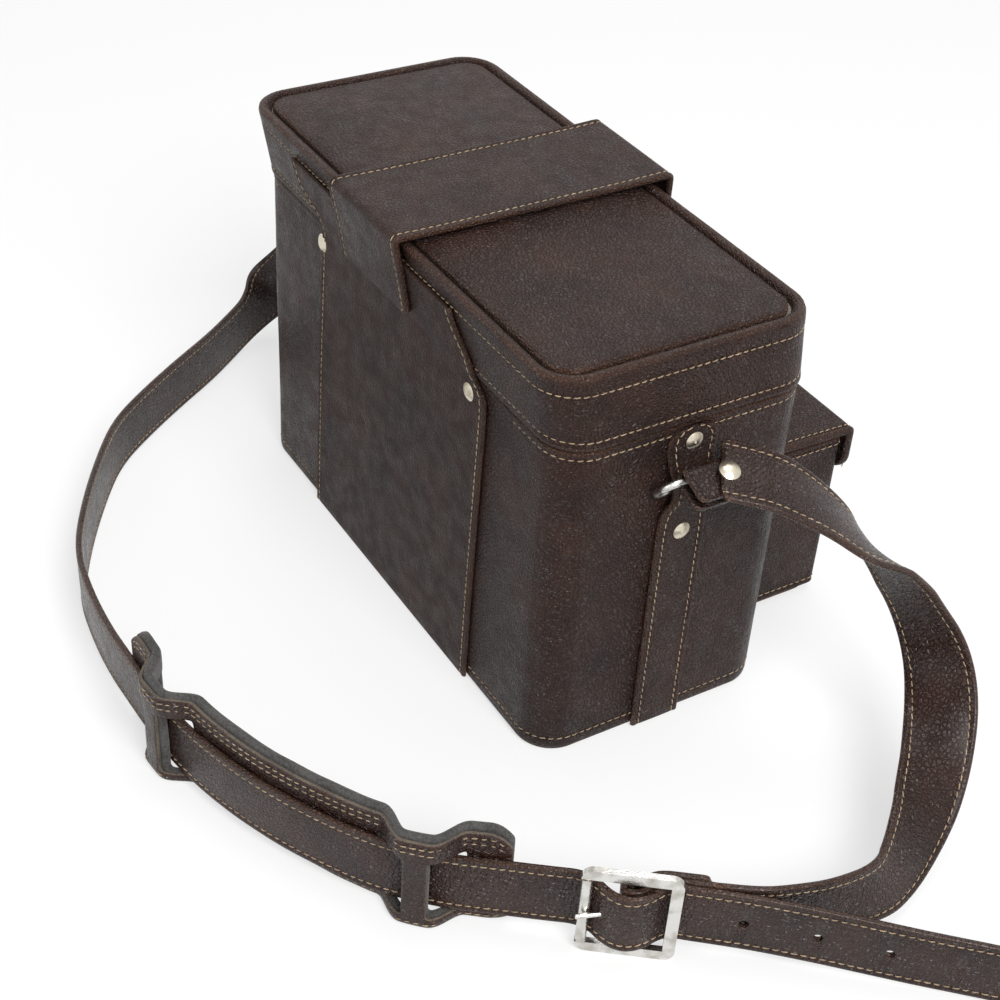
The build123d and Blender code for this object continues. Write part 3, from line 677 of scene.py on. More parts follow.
def edge_line(
    stations: Sequence[Station], across: Callable[[float, float], float], lift: float
) -> list[tuple[Vector, Vector]]:
    """Lay a seam line on a band's face.

    Args:
        stations: The band's stations.
        across: The seam's place across, from the distance to the start and to the end.
        lift: Its height over the middle, below zero on the band's back.

    Returns:
        Places with the way out of the face.
    """
    reached = distances([station.place for station in stations])
    way = 1.0 if lift > 0 else -1.0
    return [
        (
            station.place + station.across * across(reach, reached[-1] - reach) + station.out * lift,
            station.out * way,
        )
        for station, reach in zip(stations, reached)
    ]


def rounded(half: float, start: float, end: float) -> Callable[[float, float], float]:
    """Describe a band with rounded ends.

    Args:
        half: Half its width.
        start: The radius at its start.
        end: The radius at its end.

    Returns:
        Half its width, from the distance to its start and to its end.
    """

    def width(from_start: float, to_end: float) -> float:
        """Half the width at one place."""
        least = half
        for radius, reach in ((start, from_start), (end, to_end)):
            if reach < radius:
                lost = radius - math.sqrt(max(0.0, radius**2 - (radius - reach) ** 2))
                least = min(least, half - lost * min(1.0, (half - 0.6) / radius))
        return least

    return width


def steady(value: float) -> Callable[[float, float], float]:
    """The same value all along a band."""
    return lambda from_start, to_end: value


def rounded_ring(
    half_x: float, half_y: float, radius: float, height: float, shift: float = 0.0
) -> list[tuple[Vector, Vector]]:
    """A level ring with rounded corners, as points with the way out of it.

    Args:
        half_x: Half its length.
        half_y: Half its depth.
        radius: Its corners' radius.
        height: Its height.
        shift: How far its middle lies towards the back.

    Returns:
        The same number of points for every ring.
    """
    corner_steps, side_steps = 8, 12
    ring: list[tuple[Vector, Vector]] = []
    signs = ((1, 1), (-1, 1), (-1, -1), (1, -1))
    for number, (sign_x, sign_y) in enumerate(signs):
        middle = Vector((sign_x * (half_x - radius), shift + sign_y * (half_y - radius), height))
        for step in range(corner_steps + 1):
            angle = math.pi / 2 * (number + step / corner_steps)
            out = Vector((math.cos(angle), math.sin(angle), 0))
            ring.append((middle + out * radius, out))
        next_x, next_y = signs[(number + 1) % 4]
        end = Vector((next_x * (half_x - radius), shift + next_y * (half_y - radius), height))
        end += out * radius
        start = ring[-1][0]
        ring += [(start.lerp(end, step / side_steps), out) for step in range(1, side_steps)]
    return ring


def uneven(ring: Sequence[tuple[Vector, Vector]], depth: float) -> list[Vector]:
    """Move a ring's points a little in and out, as hand-laid leather lies.

    Args:
        ring: Places with the way out.
        depth: The most that a point moves.

    Returns:
        The moved points.
    """
    wave, start = 30.0, Vector((3.1, 7.7, 1.3))
    return [place + out * depth * noise.noise(place / wave + start) for place, out in ring]


def set_modifiers(piece: bpy.types.Object) -> None:
    """Bake a piece's modifiers into its mesh.

    Args:
        piece: The piece.
    """
    graph = bpy.context.evaluated_depsgraph_get()
    mesh = bpy.data.meshes.new_from_object(piece.evaluated_get(graph))
    piece.modifiers.clear()
    piece.data = mesh


def pierce(piece: bpy.types.Object, pins: Sequence[tuple[Vector, Vector, float, float]]) -> None:
    """Cut round holes through a piece.

    Args:
        piece: The piece that is cut.
        pins: Each hole's middle, its way through, its radius and half its length.
    """
    sides = 16
    points: list[Vector] = []
    faces: list[tuple] = []
    for middle, through, radius, half in pins:
        through = through.normalized()
        side = through.orthogonal().normalized()
        other = through.cross(side)
        first = len(points)
        for reach in (-half, half):
            for turn in range(sides):
                angle = 2 * math.pi * turn / sides
                arm = side * math.cos(angle) + other * math.sin(angle)
                points.append(middle + through * reach + arm * radius)
        for turn in range(sides):
            after = (turn + 1) % sides
            faces.append((first + turn, first + after, first + sides + after, first + sides + turn))
        faces.append(tuple(first + turn for turn in range(sides)))
        faces.append(tuple(first + sides + turn for turn in range(sides)))
    mesh = bpy.data.meshes.new("pins")
    mesh.from_pydata([point * MM for point in points], [], faces)
    form = bmesh.new()
    form.from_mesh(mesh)
    bmesh.ops.recalc_face_normals(form, faces=form.faces)
    form.to_mesh(mesh)
    form.free()
    cutter = bpy.data.objects.new("pins", mesh)
    bpy.context.scene.collection.objects.link(cutter)
    cut = piece.modifiers.new("holes", "BOOLEAN")
    cut.operation, cut.solver, cut.object = "DIFFERENCE", "FAST", cutter
    set_modifiers(piece)
    bpy.data.objects.remove(cutter)
    bpy.data.meshes.remove(mesh)


# Studio
@dataclass
class Studio:
    """Camera, lamps, surroundings and floor."""

    eye: Point = (-543.383, 352.526, 519.990)
    forward: Point = (0.66740226, -0.43259822, -0.60616252)
    right: Point = (-0.50847822, -0.85941215, 0.05348509)
    up: Point = (0.544081, -0.27252437, 0.79354038)
    lens: float = 65.04
    aim: Point = (0, 0, 0.08)
    surround_light: float = 0.33
    floor_reach: float = 8.0
    floor_depth: float = 0.0002
    floor_colour: tuple = (0.86, 0.86, 0.86, 1)
    floor_glow: float = 0.62
    lamps: tuple = (
        ("key_lamp", (-1.5, 0.2, 1.5), 0.9, 40.0),
        ("top_lamp", (0.3, -0.5, 2.0), 1.4, 18.0),
        ("fill_lamp", (-0.3, 1.9, 0.9), 1.3, 8.0),
    )

    def camera(self) -> None:
        """Set the camera at the photograph's viewpoint."""
        data = bpy.data.cameras.new("viewpoint")
        data.lens, data.sensor_width, data.sensor_fit = self.lens, 36.0, "HORIZONTAL"
        data.clip_start, data.clip_end = 0.01, 50.0
        holder = bpy.data.objects.new("viewpoint", data)
        turn = Matrix((self.right, self.up, [-value for value in self.forward])).transposed()
        holder.matrix_world = Matrix.Translation(Vector(self.eye) * MM) @ turn.to_4x4()
        bpy.context.scene.collection.objects.link(holder)
        bpy.context.scene.camera = holder

    def lamp(self, name: str, place: Point, size: float, power: float) -> None:
        """Hang one soft square lamp that looks at the case.

        Args:
            name: The lamp's name.
            place: Where it hangs, in metres.
            size: Its side in metres.
            power: Its power in watts.
        """
        data = bpy.data.lights.new(name, "AREA")
        data.size, data.energy = size, power
        holder = bpy.data.objects.new(name, data)
        holder.location = place
        towards = Vector(self.aim) - Vector(place)
        holder.rotation_euler = towards.to_track_quat("-Z", "Y").to_euler()
        bpy.context.scene.collection.objects.link(holder)

    def seen(self, tree: bpy.types.NodeTree) -> bpy.types.NodeSocket:
        """Tell the rays that see the background.

        Args:
            tree: The node tree to add to.

        Returns:
            One where a camera, glossy or transmission ray looks.
        """
        path = tree.nodes.new("ShaderNodeLightPath")
        share = path.outputs["Is Camera Ray"]
        for other in ("Is Glossy Ray", "Is Transmission Ray"):
            larger = tree.nodes.new("ShaderNodeMath")
            larger.operation = "MAXIMUM"
            tree.links.new(share, larger.inputs[0])
            tree.links.new(path.outputs[other], larger.inputs[1])
            share = larger.outputs[0]
        return share

    def surroundings(self) -> None:
        """White to look at, and a plain level of light."""
        world = bpy.data.worlds.new("surroundings")
        bpy.context.scene.world = world
        world.use_nodes = True
        tree = world.node_tree
        tree.nodes.clear()
        lit = tree.nodes.new("ShaderNodeBackground")
        white = tree.nodes.new("ShaderNodeBackground")
        either = tree.nodes.new("ShaderNodeMixShader")
        output = tree.nodes.new("ShaderNodeOutputWorld")
        for background in (lit, white):
            background.inputs["Color"].default_value = (1, 1, 1, 1)
        lit.inputs["Strength"].default_value = self.surround_light
        tree.links.new(self.seen(tree), either.inputs[0])
        tree.links.new(lit.outputs[0], either.inputs[1])
        tree.links.new(white.outputs[0], either.inputs[2])
        tree.links.new(either.outputs[0], output.inputs[0])

    def floor(self) -> None:
        """A pale floor that keeps the case's shadow."""
        mesh = bpy.data.meshes.new("floor")
        reach = self.floor_reach
        corners = [
            (side_x * reach, side_y * reach, -self.floor_depth)
            for side_x, side_y in ((-1, -1), (1, -1), (1, 1), (-1, 1))
        ]
        mesh.from_pydata(corners, [], [(0, 1, 2, 3)])
        floor = bpy.data.objects.new("floor", mesh)
        bpy.context.scene.collection.objects.link(floor)
        material = bpy.data.materials.new("pale_floor")
        material.use_nodes = True
        tree = material.node_tree
        tree.nodes.clear()
        matt = tree.nodes.new("ShaderNodeBsdfDiffuse")
        glow = tree.nodes.new("ShaderNodeEmission")
        matt.inputs["Color"].default_value = self.floor_colour
        glow.inputs["Strength"].default_value = 1.0
        either = tree.nodes.new("ShaderNodeMixShader")
        output = tree.nodes.new("ShaderNodeOutputMaterial")
        part = tree.nodes.new("ShaderNodeMath")
        part.operation = "MULTIPLY"
        part.inputs[1].default_value = self.floor_glow
        tree.links.new(self.seen(tree), part.inputs[0])
        tree.links.new(part.outputs[0], either.inputs[0])
        tree.links.new(matt.outputs[0], either.inputs[1])
        tree.links.new(glow.outputs[0], either.inputs[2])
        tree.links.new(either.outputs[0], output.inputs["Surface"])
        mesh.materials.append(material)

    def build(self) -> None:
        """Set up the whole studio."""
        self.camera()
        self.surroundings()
        self.floor()
        for name, place, size, power in self.lamps:
            self.lamp(name, place, size, power)
        bpy.context.scene.view_settings.view_transform = "Standard"


# Shoulder strap
def at_buckle(along: float, out: float, height: float) -> Point:
    """Find a point by the buckle.

    Args:
        along: The distance from the buckle's centre along the strap.
        out: The distance out of its face.
        height: The height above the ground.

    Returns:
        The point.
    """
    x, y = (
        centre + way * along + face * out
        for centre, way, face in zip(BUCKLE_CENTRE, BUCKLE_ALONG, BUCKLE_OUT)
    )
    return (x, y, height)


@dataclass
class ShoulderStrap:
    """The two stretches of the strap, the fold on the buckle and the ring sleeves."""

    shop: Workshop
    width: float = 28.0
    thickness: float = 2.4
    fold_line: float = -6.35
    strap_height: float = 21.0
    seam_across: float = 10.8
    seam_lift: float = 1.08
    tail_radius: float = 12.0
    hole_places: tuple[float, ...] = (-10.0, -7.0, 40.0, 66.0, 92.0, 118.0)
    hole_radius: float = 1.9
    sleeve_pitch: float = 22.0
    sleeve_half: float = 11.0
    sleeve_thickness: float = 2.0
    ring_bar: tuple[float, float] = (135.46, 130.96)

    def long_route(self) -> list[tuple[Point, Point]]:
        """The long stretch's control points, each with the way to its upper edge."""
        return [
            ((138.4, 0, 135.6), (0, -1, 0)),
            ((152, -1, 130.3), (0, -1, 0)),
            ((167, -2, 115), (0, -1, 0)),
            ((181, -1, 95), (0.2, -0.95, 0.2)),
            ((194, 2, 72), (0.4, -0.75, 0.5)),
            ((204, 7, 48), (0.4, -0.4, 0.8)),
            ((209, 16, 27), (0.2, -0.1, 0.95)),
            ((206, 30, 17), UP),
            ((196, 45, 14.5), UP),
            ((182, 63, 14.5), UP),
            ((167, 86, 14.5), UP),
            ((150, 110, 14.5), UP),
            ((133, 131, 14.5), UP),
            ((111, 147, 14.5), UP),
            ((80, 166, 14.5), UP),
            ((49, 181, 15), UP),
            ((20, 185.5, 16), UP),
            ((-6, 187.5, 18), UP),
            ((-26, 187, 19), UP),
            ((-48, 186, 19), UP),
            ((-70, 183.5, 19), UP),
            ((-95, 177, 19), UP),
            ((-118, 168, 19), UP),
            ((-140, 156.5, 19), UP),
            ((-160, 144, 19.5), UP),
            ((-177, 127.5, 20), UP),
            ((-189, 112, 20.5), UP),
            (at_buckle(-30, -4.7, 21), UP),
            (at_buckle(-15, -5.0, 21), UP),
            (at_buckle(-6, 4.6, 21), UP),
            (at_buckle(3.6, 5.0, 21), UP),
            (at_buckle(13.2, -4.1, 21), UP),
            (at_buckle(21.5, -3.5, 21), UP),
            (at_buckle(32, -3.2, 21), UP),
            (at_buckle(48, -3.3, 20), UP),
            (at_buckle(71, -2.2, 18.5), UP),
            (at_buckle(87, -1.4, 17), UP),
            (at_buckle(105, 0, 16), UP),
            (at_buckle(128, 1.4, 15), UP),
            (at_buckle(147, 3.2, 14.5), UP),
        ]

    def short_route(self) -> list[tuple[Point, Point]]:
        """The short stretch's control points, with one turn over on the way."""
        return [
            ((-139.5, -4, 135.15), (0.58, -0.78, 0.23)),
            ((-144.5, -12.5, 133.15), (0.58, -0.78, 0.23)),
            ((-150, -21.5, 130.5), (0.6, -0.78, 0.15)),
            ((-155.5, -30, 125.5), (0.64, -0.76, 0.08)),
            ((-162, -40, 118), (0.63, -0.77, -0.13)),
            ((-169, -50, 108), (0.55, -0.75, -0.37)),
            ((-172, -59.5, 98), (0.53, -0.5, -0.65)),
            ((-175, -68, 88), (0.54, -0.29, -0.79)),
            ((-180, -78, 72), (0.53, -0.03, -0.85)),
            ((-192, -82, 56), (0.62, 0.45, -0.64)),
            ((-205, -77, 43), (0.60, 0.72, -0.3)),
            ((-219, -65, 32), (0.55, 0.83, 0.07)),
            ((-229, -53.5, 25), (0.65, 0.66, 0.38)),
            ((-236, -44, 20), (0.55, 0.55, 0.63)),
            ((-247, -26, 16), (0.28, 0.55, 0.79)),
            ((-252, -12, 15.5), (0.2, 0.35, 0.91)),
            ((-250, 11, 18), UP),
            (at_buckle(57, -10.5, 20), UP),
            (at_buckle(44, self.fold_line, 21), UP),
            (at_buckle(30, self.fold_line, 21), UP),
        ]

    def route_stations(self, route: Sequence[tuple[Point, Point]]) -> list[Station]:
        """Set stations along a route, its edge read from a second spline beside the first.

        Args:
            route: Control points, each with the way to the strap's upper edge.

        Returns:
            The route's stations.
        """
        half = self.width / 2
        line = smooth_line([point for point, _ in route], 12)
        beside = smooth_line([tuple(Vector(point) + Vector(edge) * half) for point, edge in route], 12)
        return stations_along(line, [edge - place for place, edge in zip(line, beside)])

    def stretch(
        self, name: str, stations: Sequence[Station], end: float, node: str
    ) -> bpy.types.Object:
        """Make one free stretch of the strap.

        Args:
            name: The piece's name.
            stations: Its stations.
            end: The radius of its end.
            node: The solid that it stands for.

        Returns:
            The stretch.
        """
        return self.shop.band(
            name, stations, rounded(self.width / 2, 4.0, end), self.thickness, Finish.STRAP_LEATHER,
            nodes=(node,),
        )

    def seams(self, name: str, stations: Sequence[Station]) -> bpy.types.Object:
        """Sew the two seams of a stretch, on both of its faces.

        Args:
            name: The piece's name.
            stations: The stretch's stations.

        Returns:
            The stitches.
        """
        lines = [
            edge_line(stations, steady(side * self.seam_across), face * self.seam_lift)
            for side in (-1, 1)
            for face in (1, -1)
        ]
        return self.shop.stitches(name, lines)

    def holes(self, strap: bpy.types.Object, stations: Sequence[Station]) -> None:
        """Cut the prong's hole and the row of tail holes.

        Args:
            strap: The long stretch.
            stations: Its stations.
        """
        pins = []
        for along in self.hole_places:
            goal = Vector(at_buckle(along, 0, 20))
            near = min(stations, key=lambda station: (station.place - goal).length)
            pins.append((near.place, near.out, self.hole_radius, 2.5 * self.thickness))
        pierce(strap, pins)

    def sleeve(self, side: int, name: str, shift: float) -> bpy.types.Object:
        """Fold a sleeve of leather round a ring's outer bar.

        Args:
            side: The end of the case, -1 or 1.
            name: The solid that it stands for.
            shift: How far its middle lies towards the back.

        Returns:
            The sleeve.
        """
        turn = math.radians(self.sleeve_pitch)
        along = Vector((side * math.cos(turn), 0, -math.sin(turn)))
        over = Vector((side * math.sin(turn), 0, math.cos(turn)))
        bar = Vector((side * self.ring_bar[0], shift, self.ring_bar[1]))
        path = [
            (12, 2.9), (7, 2.9), (1, 2.95), (-3.0, 2.95),
            (-3.0, -2.95), (1, -2.95), (7, -2.9), (12, -2.9),
        ]
        points = [tuple(bar + along * reach + over * rise) for reach, rise in path]
        stations = flat_band(points, (0, 1, 0), 12)
        return self.shop.band(
            name + "_sleeve", stations, rounded(self.sleeve_half, 3.0, 3.0), self.sleeve_thickness,
            Finish.STRAP_LEATHER, nodes=(name,),
        )

    def fold(self) -> bpy.types.Object:
        """Fold the short stretch's end round the buckle's centre bar.

        Returns:
            The fold, with a slot for the prong.
        """
        line = self.fold_line
        path = [
            (28, line - 2.7), (20, line - 2.7), (9.5, line - 2.7), (5, -6.0), (2.5, -4.3), (-0.8, -4.3),
            (-2.9, -4.2), (-2.9, -1.5), (-2.9, 1.2), (-0.8, 1.3), (2.5, 1.25), (6, -1.5), (12, line),
            (20, line), (30, line),
        ]
        stations = flat_band([at_buckle(along, out, self.strap_height) for along, out in path], UP, 12)
        fold = self.shop.band(
            "buckle_fold", stations, rounded(self.width / 2, 3.0, SQUARE_END), self.thickness,
            Finish.STRAP_LEATHER,
            nodes=("strap_buckle_fold",),
        )
        middle = Vector(at_buckle(-1.5, -1.5, self.strap_height))
        slot_radius, slot_half = 2.7, 9.0
        pierce(fold, [(middle, Vector((*BUCKLE_OUT, 0)), slot_radius, slot_half)])
        return fold

    def build(self, pad: "ShoulderPad") -> None:
        """Make the strap with its pad.

        Args:
            pad: The pad that the long stretch weaves through.
        """
        long_line = self.route_stations(self.long_route())
        short_line = self.route_stations(self.short_route())
        long_strap = self.stretch("strap_long_leather", long_line, self.tail_radius, "strap_long")
        short_strap = self.stretch("strap_short_leather", short_line, SQUARE_END, "strap_short")
        self.holes(long_strap, long_line)
        long_seams = self.seams("strap_long_stitches", long_line)
        short_seams = self.seams("strap_short_stitches", short_line)
        right = self.sleeve(1, "strap_end_right", 0.0)
        left = self.sleeve(-1, "strap_end_left", -1.0)
        fold = self.fold()
        pad_pieces = pad.build(long_line)


@dataclass
class ShoulderPad:
    """Leather over felt, slit so that the strap weaves through it."""

    shop: Workshop
    start: Point = (-26, 187, 19)
    length: float = 190.0
    slits: tuple[float, ...] = (22.0, 44.0, 146.0, 168.0)
    weave: float = 6.0
    strap_half: float = 14.6
    step_out: float = 9.0
    columns: int = 127
    foot: float = 0.6
    waist_top: float = 43.0
    end_rise: float = 3.0
    tip_drop: float = 7.0
    tip_length: float = 9.0

    def passed(self, reach: float) -> float:
        """Tell how far the pad has come in front of the strap.

        Args:
            reach: The distance along the pad.

        Returns:
            0 where it lies behind, 1 where it lies in front.
        """
        share = 0.0
        for number, slit in enumerate(self.slits):
            step = min(1.0, max(0.0, (reach - slit + self.weave) / (2 * self.weave)))
            share += (step * step * (3 - 2 * step)) * (1 if number % 2 == 0 else -1)
        return share

    def edges(self, reach: float) -> tuple[float, float]:
        """Find the pad's edges.

        Args:
            reach: The distance along the pad.

        Returns:
            Its foot and its top above the ground.
        """
        share = abs(2 * reach / self.length - 1)
        tip = max(0.0, 1 - min(reach, self.length - reach) / self.tip_length)
        top = self.waist_top + self.end_rise * share**2 - self.tip_drop * tip**2
        return self.foot + self.end_rise * tip**2, top

    def layer(
        self,
        name: str,
        line: Callable[[float], Station],
        behind: float,
        thickness: float,
        grow: float,
        finish: Finish,
    ) -> bpy.types.Object:
        """One layer of the pad.

        Args:
            name: The piece's name.
            line: The strap's station at a distance along the pad.
            behind: The layer's offset where the pad lies behind the strap.
            thickness: Its thickness.
            grow: How far its top rises past the leather's.
            finish: Its finish.

        Returns:
            The layer.
        """
        columns = self.columns
        points: list[Vector] = []
        shares = [0, 0.5, 1] + [1 + step / 8 for step in range(1, 9)] + [2.35, 2.7, 3]
        faces: list[tuple] = []
        rows = len(shares)
        for column in range(columns):
            reach = self.length * column / (columns - 1)
            station = line(reach)
            foot, top = self.edges(reach)
            middle = station.place.z
            low, high = middle - self.strap_half, middle + self.strap_half
            offset = behind + self.step_out * self.passed(reach)
            for share in shares:
                if share <= 1:
                    height = foot + (low - foot) * share
                elif share <= 2:
                    height = low + (high - low) * (share - 1)
                else:
                    height = high + (top + grow - high) * (share - 2)
                swell = 0.35 * noise.noise(Vector((reach / 14, height / 14, behind)))
                place = station.place + station.out * (offset + swell)
                points.append(Vector((place.x, place.y, height)))
        slots = [(slit - self.weave, slit + self.weave) for slit in self.slits]
        for column in range(columns - 1):
            reach = self.length * (column + 0.5) / (columns - 1)
            open_here = any(start < reach < end for start, end in slots)
            for row in range(rows - 1):
                if open_here and 1 <= shares[row] and shares[row + 1] <= 2:
                    continue
                here = column * rows + row
                faces.append((here, here + rows, here + rows + 1, here + 1))
        node = "pad_leather" if finish is Finish.STRAP_LEATHER else "pad_felt"
        layer = self.shop.piece(name, points, faces, finish, nodes=(node,))
        layer.data.materials.append(self.shop.wardrobe.take(Finish.RAW))
        thick = layer.modifiers.new("thickness", "SOLIDIFY")
        thick.thickness, thick.offset = thickness * MM, 0.0
        thick.material_offset_rim = 1 if finish is Finish.STRAP_LEATHER else 0
        soft = layer.modifiers.new("soft_edges", "SUBSURF")
        soft.levels = soft.render_levels = 1
        set_modifiers(layer)
        return layer

    def build(self, stations: Sequence[Station]) -> list[bpy.types.Object]:
        """Make both layers and their seams.

        Args:
            stations: The stations of the strap's long stretch.

        Returns:
            The pad's pieces.
        """
        reached = distances([station.place for station in stations])
        goal = Vector(self.start)
        first = min(range(len(stations)), key=lambda index: (stations[index].place - goal).length)

        def line(reach: float) -> Station:
            """Find the strap's station.

            Args:
                reach: The distance along the pad.

            Returns:
                The station there.
            """
            far = reached[first] + reach
            index = max(i for i, value in enumerate(reached) if value <= far)
            after = min(index + 1, len(stations) - 1)
            share = (far - reached[index]) / max(1e-6, reached[after] - reached[index])
            here, there = stations[index], stations[after]
            out = here.out.lerp(there.out, share).normalized()
            return Station(here.place.lerp(there.place, share), here.across, out)

        leather = self.layer("pad_leather_cover", line, -2.5, 2.0, 0.0, Finish.STRAP_LEATHER)
        felt = self.layer("pad_felt_layer", line, -5.5, 4.0, 1.1, Finish.FELT)
        seams = []
        steps, end_gap, face = 95, 3.0, -1.45
        for inset, from_top in ((2.6, True), (5.4, True), (2.0, False)):
            seam = []
            for step in range(steps + 1):
                reach = end_gap + (self.length - 2 * end_gap) * step / steps
                station = line(reach)
                foot, top = self.edges(reach)
                place = station.place + station.out * (face + self.step_out * self.passed(reach))
                place.z = top - inset if from_top else foot + inset
                seam.append((place, station.out))
            seams.append(seam)
        stitches = self.shop.stitches("pad_stitches", seams)
        return [leather, felt, stitches]


# Case
@dataclass
class CaseBody:
    """The wall of the case, its end tabs and the sheet up its back."""

    shop: Workshop
    half_x: float = 125.0
    half_y: float = 56.0
    corner: float = 16.0
    seam_proud: float = 0.15
    foot_seam: float = 6.6
    mouth_seam: float = 144.4
    tab_face: float = 126.3
    tab_half: float = 11.5
    tab_thickness: float = 2.0
    neck_at: float = 122.0
    neck_depth: float = 2.4
    neck_reach: float = 13.0
    sheet_thickness: float = 1.6
    parting: float = 148.3
    lid_rise: float = 32.7
    back_lean: float = 6.2
    blend_start: Point = (0, 0.058, 0.1468)
    blend_end: Point = (0, 0.058, 0.1515)

    def wall(self) -> None:
        """Make the leather-covered wall, rolled over at its top edge, and sew it."""
        profile = [
            (2.0, 0.25), (0.9, 0.5), (0.1, 1.3), (-0.25, 2.6), (-0.3, 5.4), (-0.05, 6.6), (-0.3, 7.8),
            (-0.3, 30), (-0.3, 60), (-0.3, 90), (-0.3, 120), (-0.3, 142.8), (-0.05, 144.4), (-0.4, 145.6),
            (-0.55, 146.6), (-0.35, 147.5), (0.3, 148.05), (1.4, 148.15), (2.9, 148.0), (3.0, 146),
            (3.0, 3.4),
        ]
        rings = [
            uneven(
                rounded_ring(self.half_x - inset, self.half_y - inset, self.corner - inset, height),
                0.3 if inset < 0 else 0.0,
            )
            for inset, height in profile
        ]
        points, faces = skin(rings, loop=True)
        self.shop.piece("case_wall_leather", points, faces, Finish.LEATHER, nodes=("body_wall",))
        foot, mouth = (
            rounded_ring(
                self.half_x + self.seam_proud, self.half_y + self.seam_proud,
                self.corner + self.seam_proud, height,
            )
            for height in (self.foot_seam, self.mouth_seam)
        )
        self.shop.stitches("case_wall_stitches", [foot + foot[:1]])
        sheet_edge, corner_count, corner_y = -76, 9, 40
        start = next(
            index for index, (place, _) in enumerate(mouth)
            if place.y > self.half_y and place.x < sheet_edge
        )
        stop = max(index for index, (place, _) in enumerate(mouth) if place.y < corner_y)
        self.shop.stitches("case_mouth_stitches", [mouth[start : stop + 1] + mouth[:corner_count]])

    def tab(self, side: int, name: str) -> None:
        """Make one end tab, narrower where it runs over the ring's inner bar.

        Args:
            side: The end of the case, -1 or 1.
            name: The solid that it stands for.
        """
        middle = side * self.tab_face
        path = [
            (middle, 0.8), (middle, 20), (middle, 50), (middle, 80), (middle, 100), (middle, 106),
            (side * 127.4, 112), (side * 130.2, 116), (side * 130.3, 121), (side * 130.2, 126),
            (side * 127.4, 130), (middle, 136), (middle, 141), (middle, 145.5), (middle, 147.3),
        ]
        stations = flat_band([(x, 0, z) for x, z in path], (0, 1, 0), 10)

        def width(start: float, end: float) -> float:
            """Half the tab's width: a neck at the ring, a rounded top."""
            neck = self.neck_depth * math.exp(-(((start - self.neck_at) / self.neck_reach) ** 2))
            return rounded(self.tab_half, SQUARE_END, 7.0)(start, end) - neck

        self.shop.band(
            name + "_leather", stations, width, self.tab_thickness, Finish.LEATHER, nodes=(name,)
        )
        lift = 0.95 if stations[0].out.x * side > 0 else -0.95
        lines = [
            edge_line(stations, lambda start, end: edge * max(0.0, width(start, end) - SEAM_INSET), lift)
            for edge in (-1, 1)
        ]
        self.shop.stitches(name + "_stitches", lines)

    def back_sheet(self) -> None:
        """Make the sheet up the back, which is the lid's leather hinge as well."""
        edges = [
            (0.5, -70, 70), (20, -70.5, 69.4), (45, -71, 68.4), (75, -72, 67), (105, -73, 65.2),
            (130, -74, 63.4), (138, -74, 63), (143, -73, 62.6), (146, -69, 62.2), (148.5, -66, 62),
            (151, -65.4, 62), (154.5, -64.8, 63.5), (158, -62.6, 71), (161, -60, 77), (164.5, -57.6, 79),
            (168, -55.6, 80), (171, -54.6, 81), (172.4, -54.4, 81),
        ]
        centres, lefts = [], []
        for height, left, right in edges:
            lean = max(0.0, (height - self.parting) / self.lid_rise)
            over_lid = min(1.0, max(0.0, (height - 146) / 5))
            depth = 57.15 + (0.75 + self.back_lean * lean) * over_lid
            centres.append(((left + right) / 2, depth, height))
            lefts.append((right, depth, height))
        line, beside = smooth_line(centres, 8), smooth_line(lefts, 8)
        halves = [(edge - place).length for place, edge in zip(line, beside)]
        profile = [Vector((0, place.y, place.z)) for place in line]
        upright = stations_along(profile, [Vector((1, 0, 0))] * len(line))
        stations = [Station(place, level.across, level.out) for place, level in zip(line, upright)]
        rings = [
            [
                station.place + station.across * across + station.out * out
                for across, out in band_section(half, self.sheet_thickness)
            ]
            for station, half in zip(stations, halves)
        ]
        points, faces = skin(rings)
        sheet = self.shop.piece(
            "back_sheet", points, faces, Finish.BACK_LEATHER, None, ("back_panel", "hinge_leather")
        )
        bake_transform(sheet)
        lines = [
            [
                (
                    station.place + station.across * side * (half - SEAM_INSET)
                    + station.out * (self.sheet_thickness / 2 + 0.02),
                    station.out,
                )
                for station, half in zip(stations, halves)
            ]
            for side in (-1, 1)
        ]
        stitches = self.shop.stitches("back_sheet_stitches", lines, None)
        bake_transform(stitches)

    def build(self) -> None:
        """Make the wall, the tabs and the back sheet, and dress the solids inside."""
        self.wall()
        self.tab(-1, "end_tab_left")
        self.tab(1, "end_tab_right")
        self.back_sheet()
        wardrobe = self.shop.wardrobe
        wardrobe.dress(Finish.LEATHER, "body_base")
        wardrobe.dress(Finish.LINING, "body_lining", "locating_collar")
        wardrobe.dress(Finish.STUD, "back_panel_rivets", "tab_rivets", "front_snap_stud", "strap_rivets")


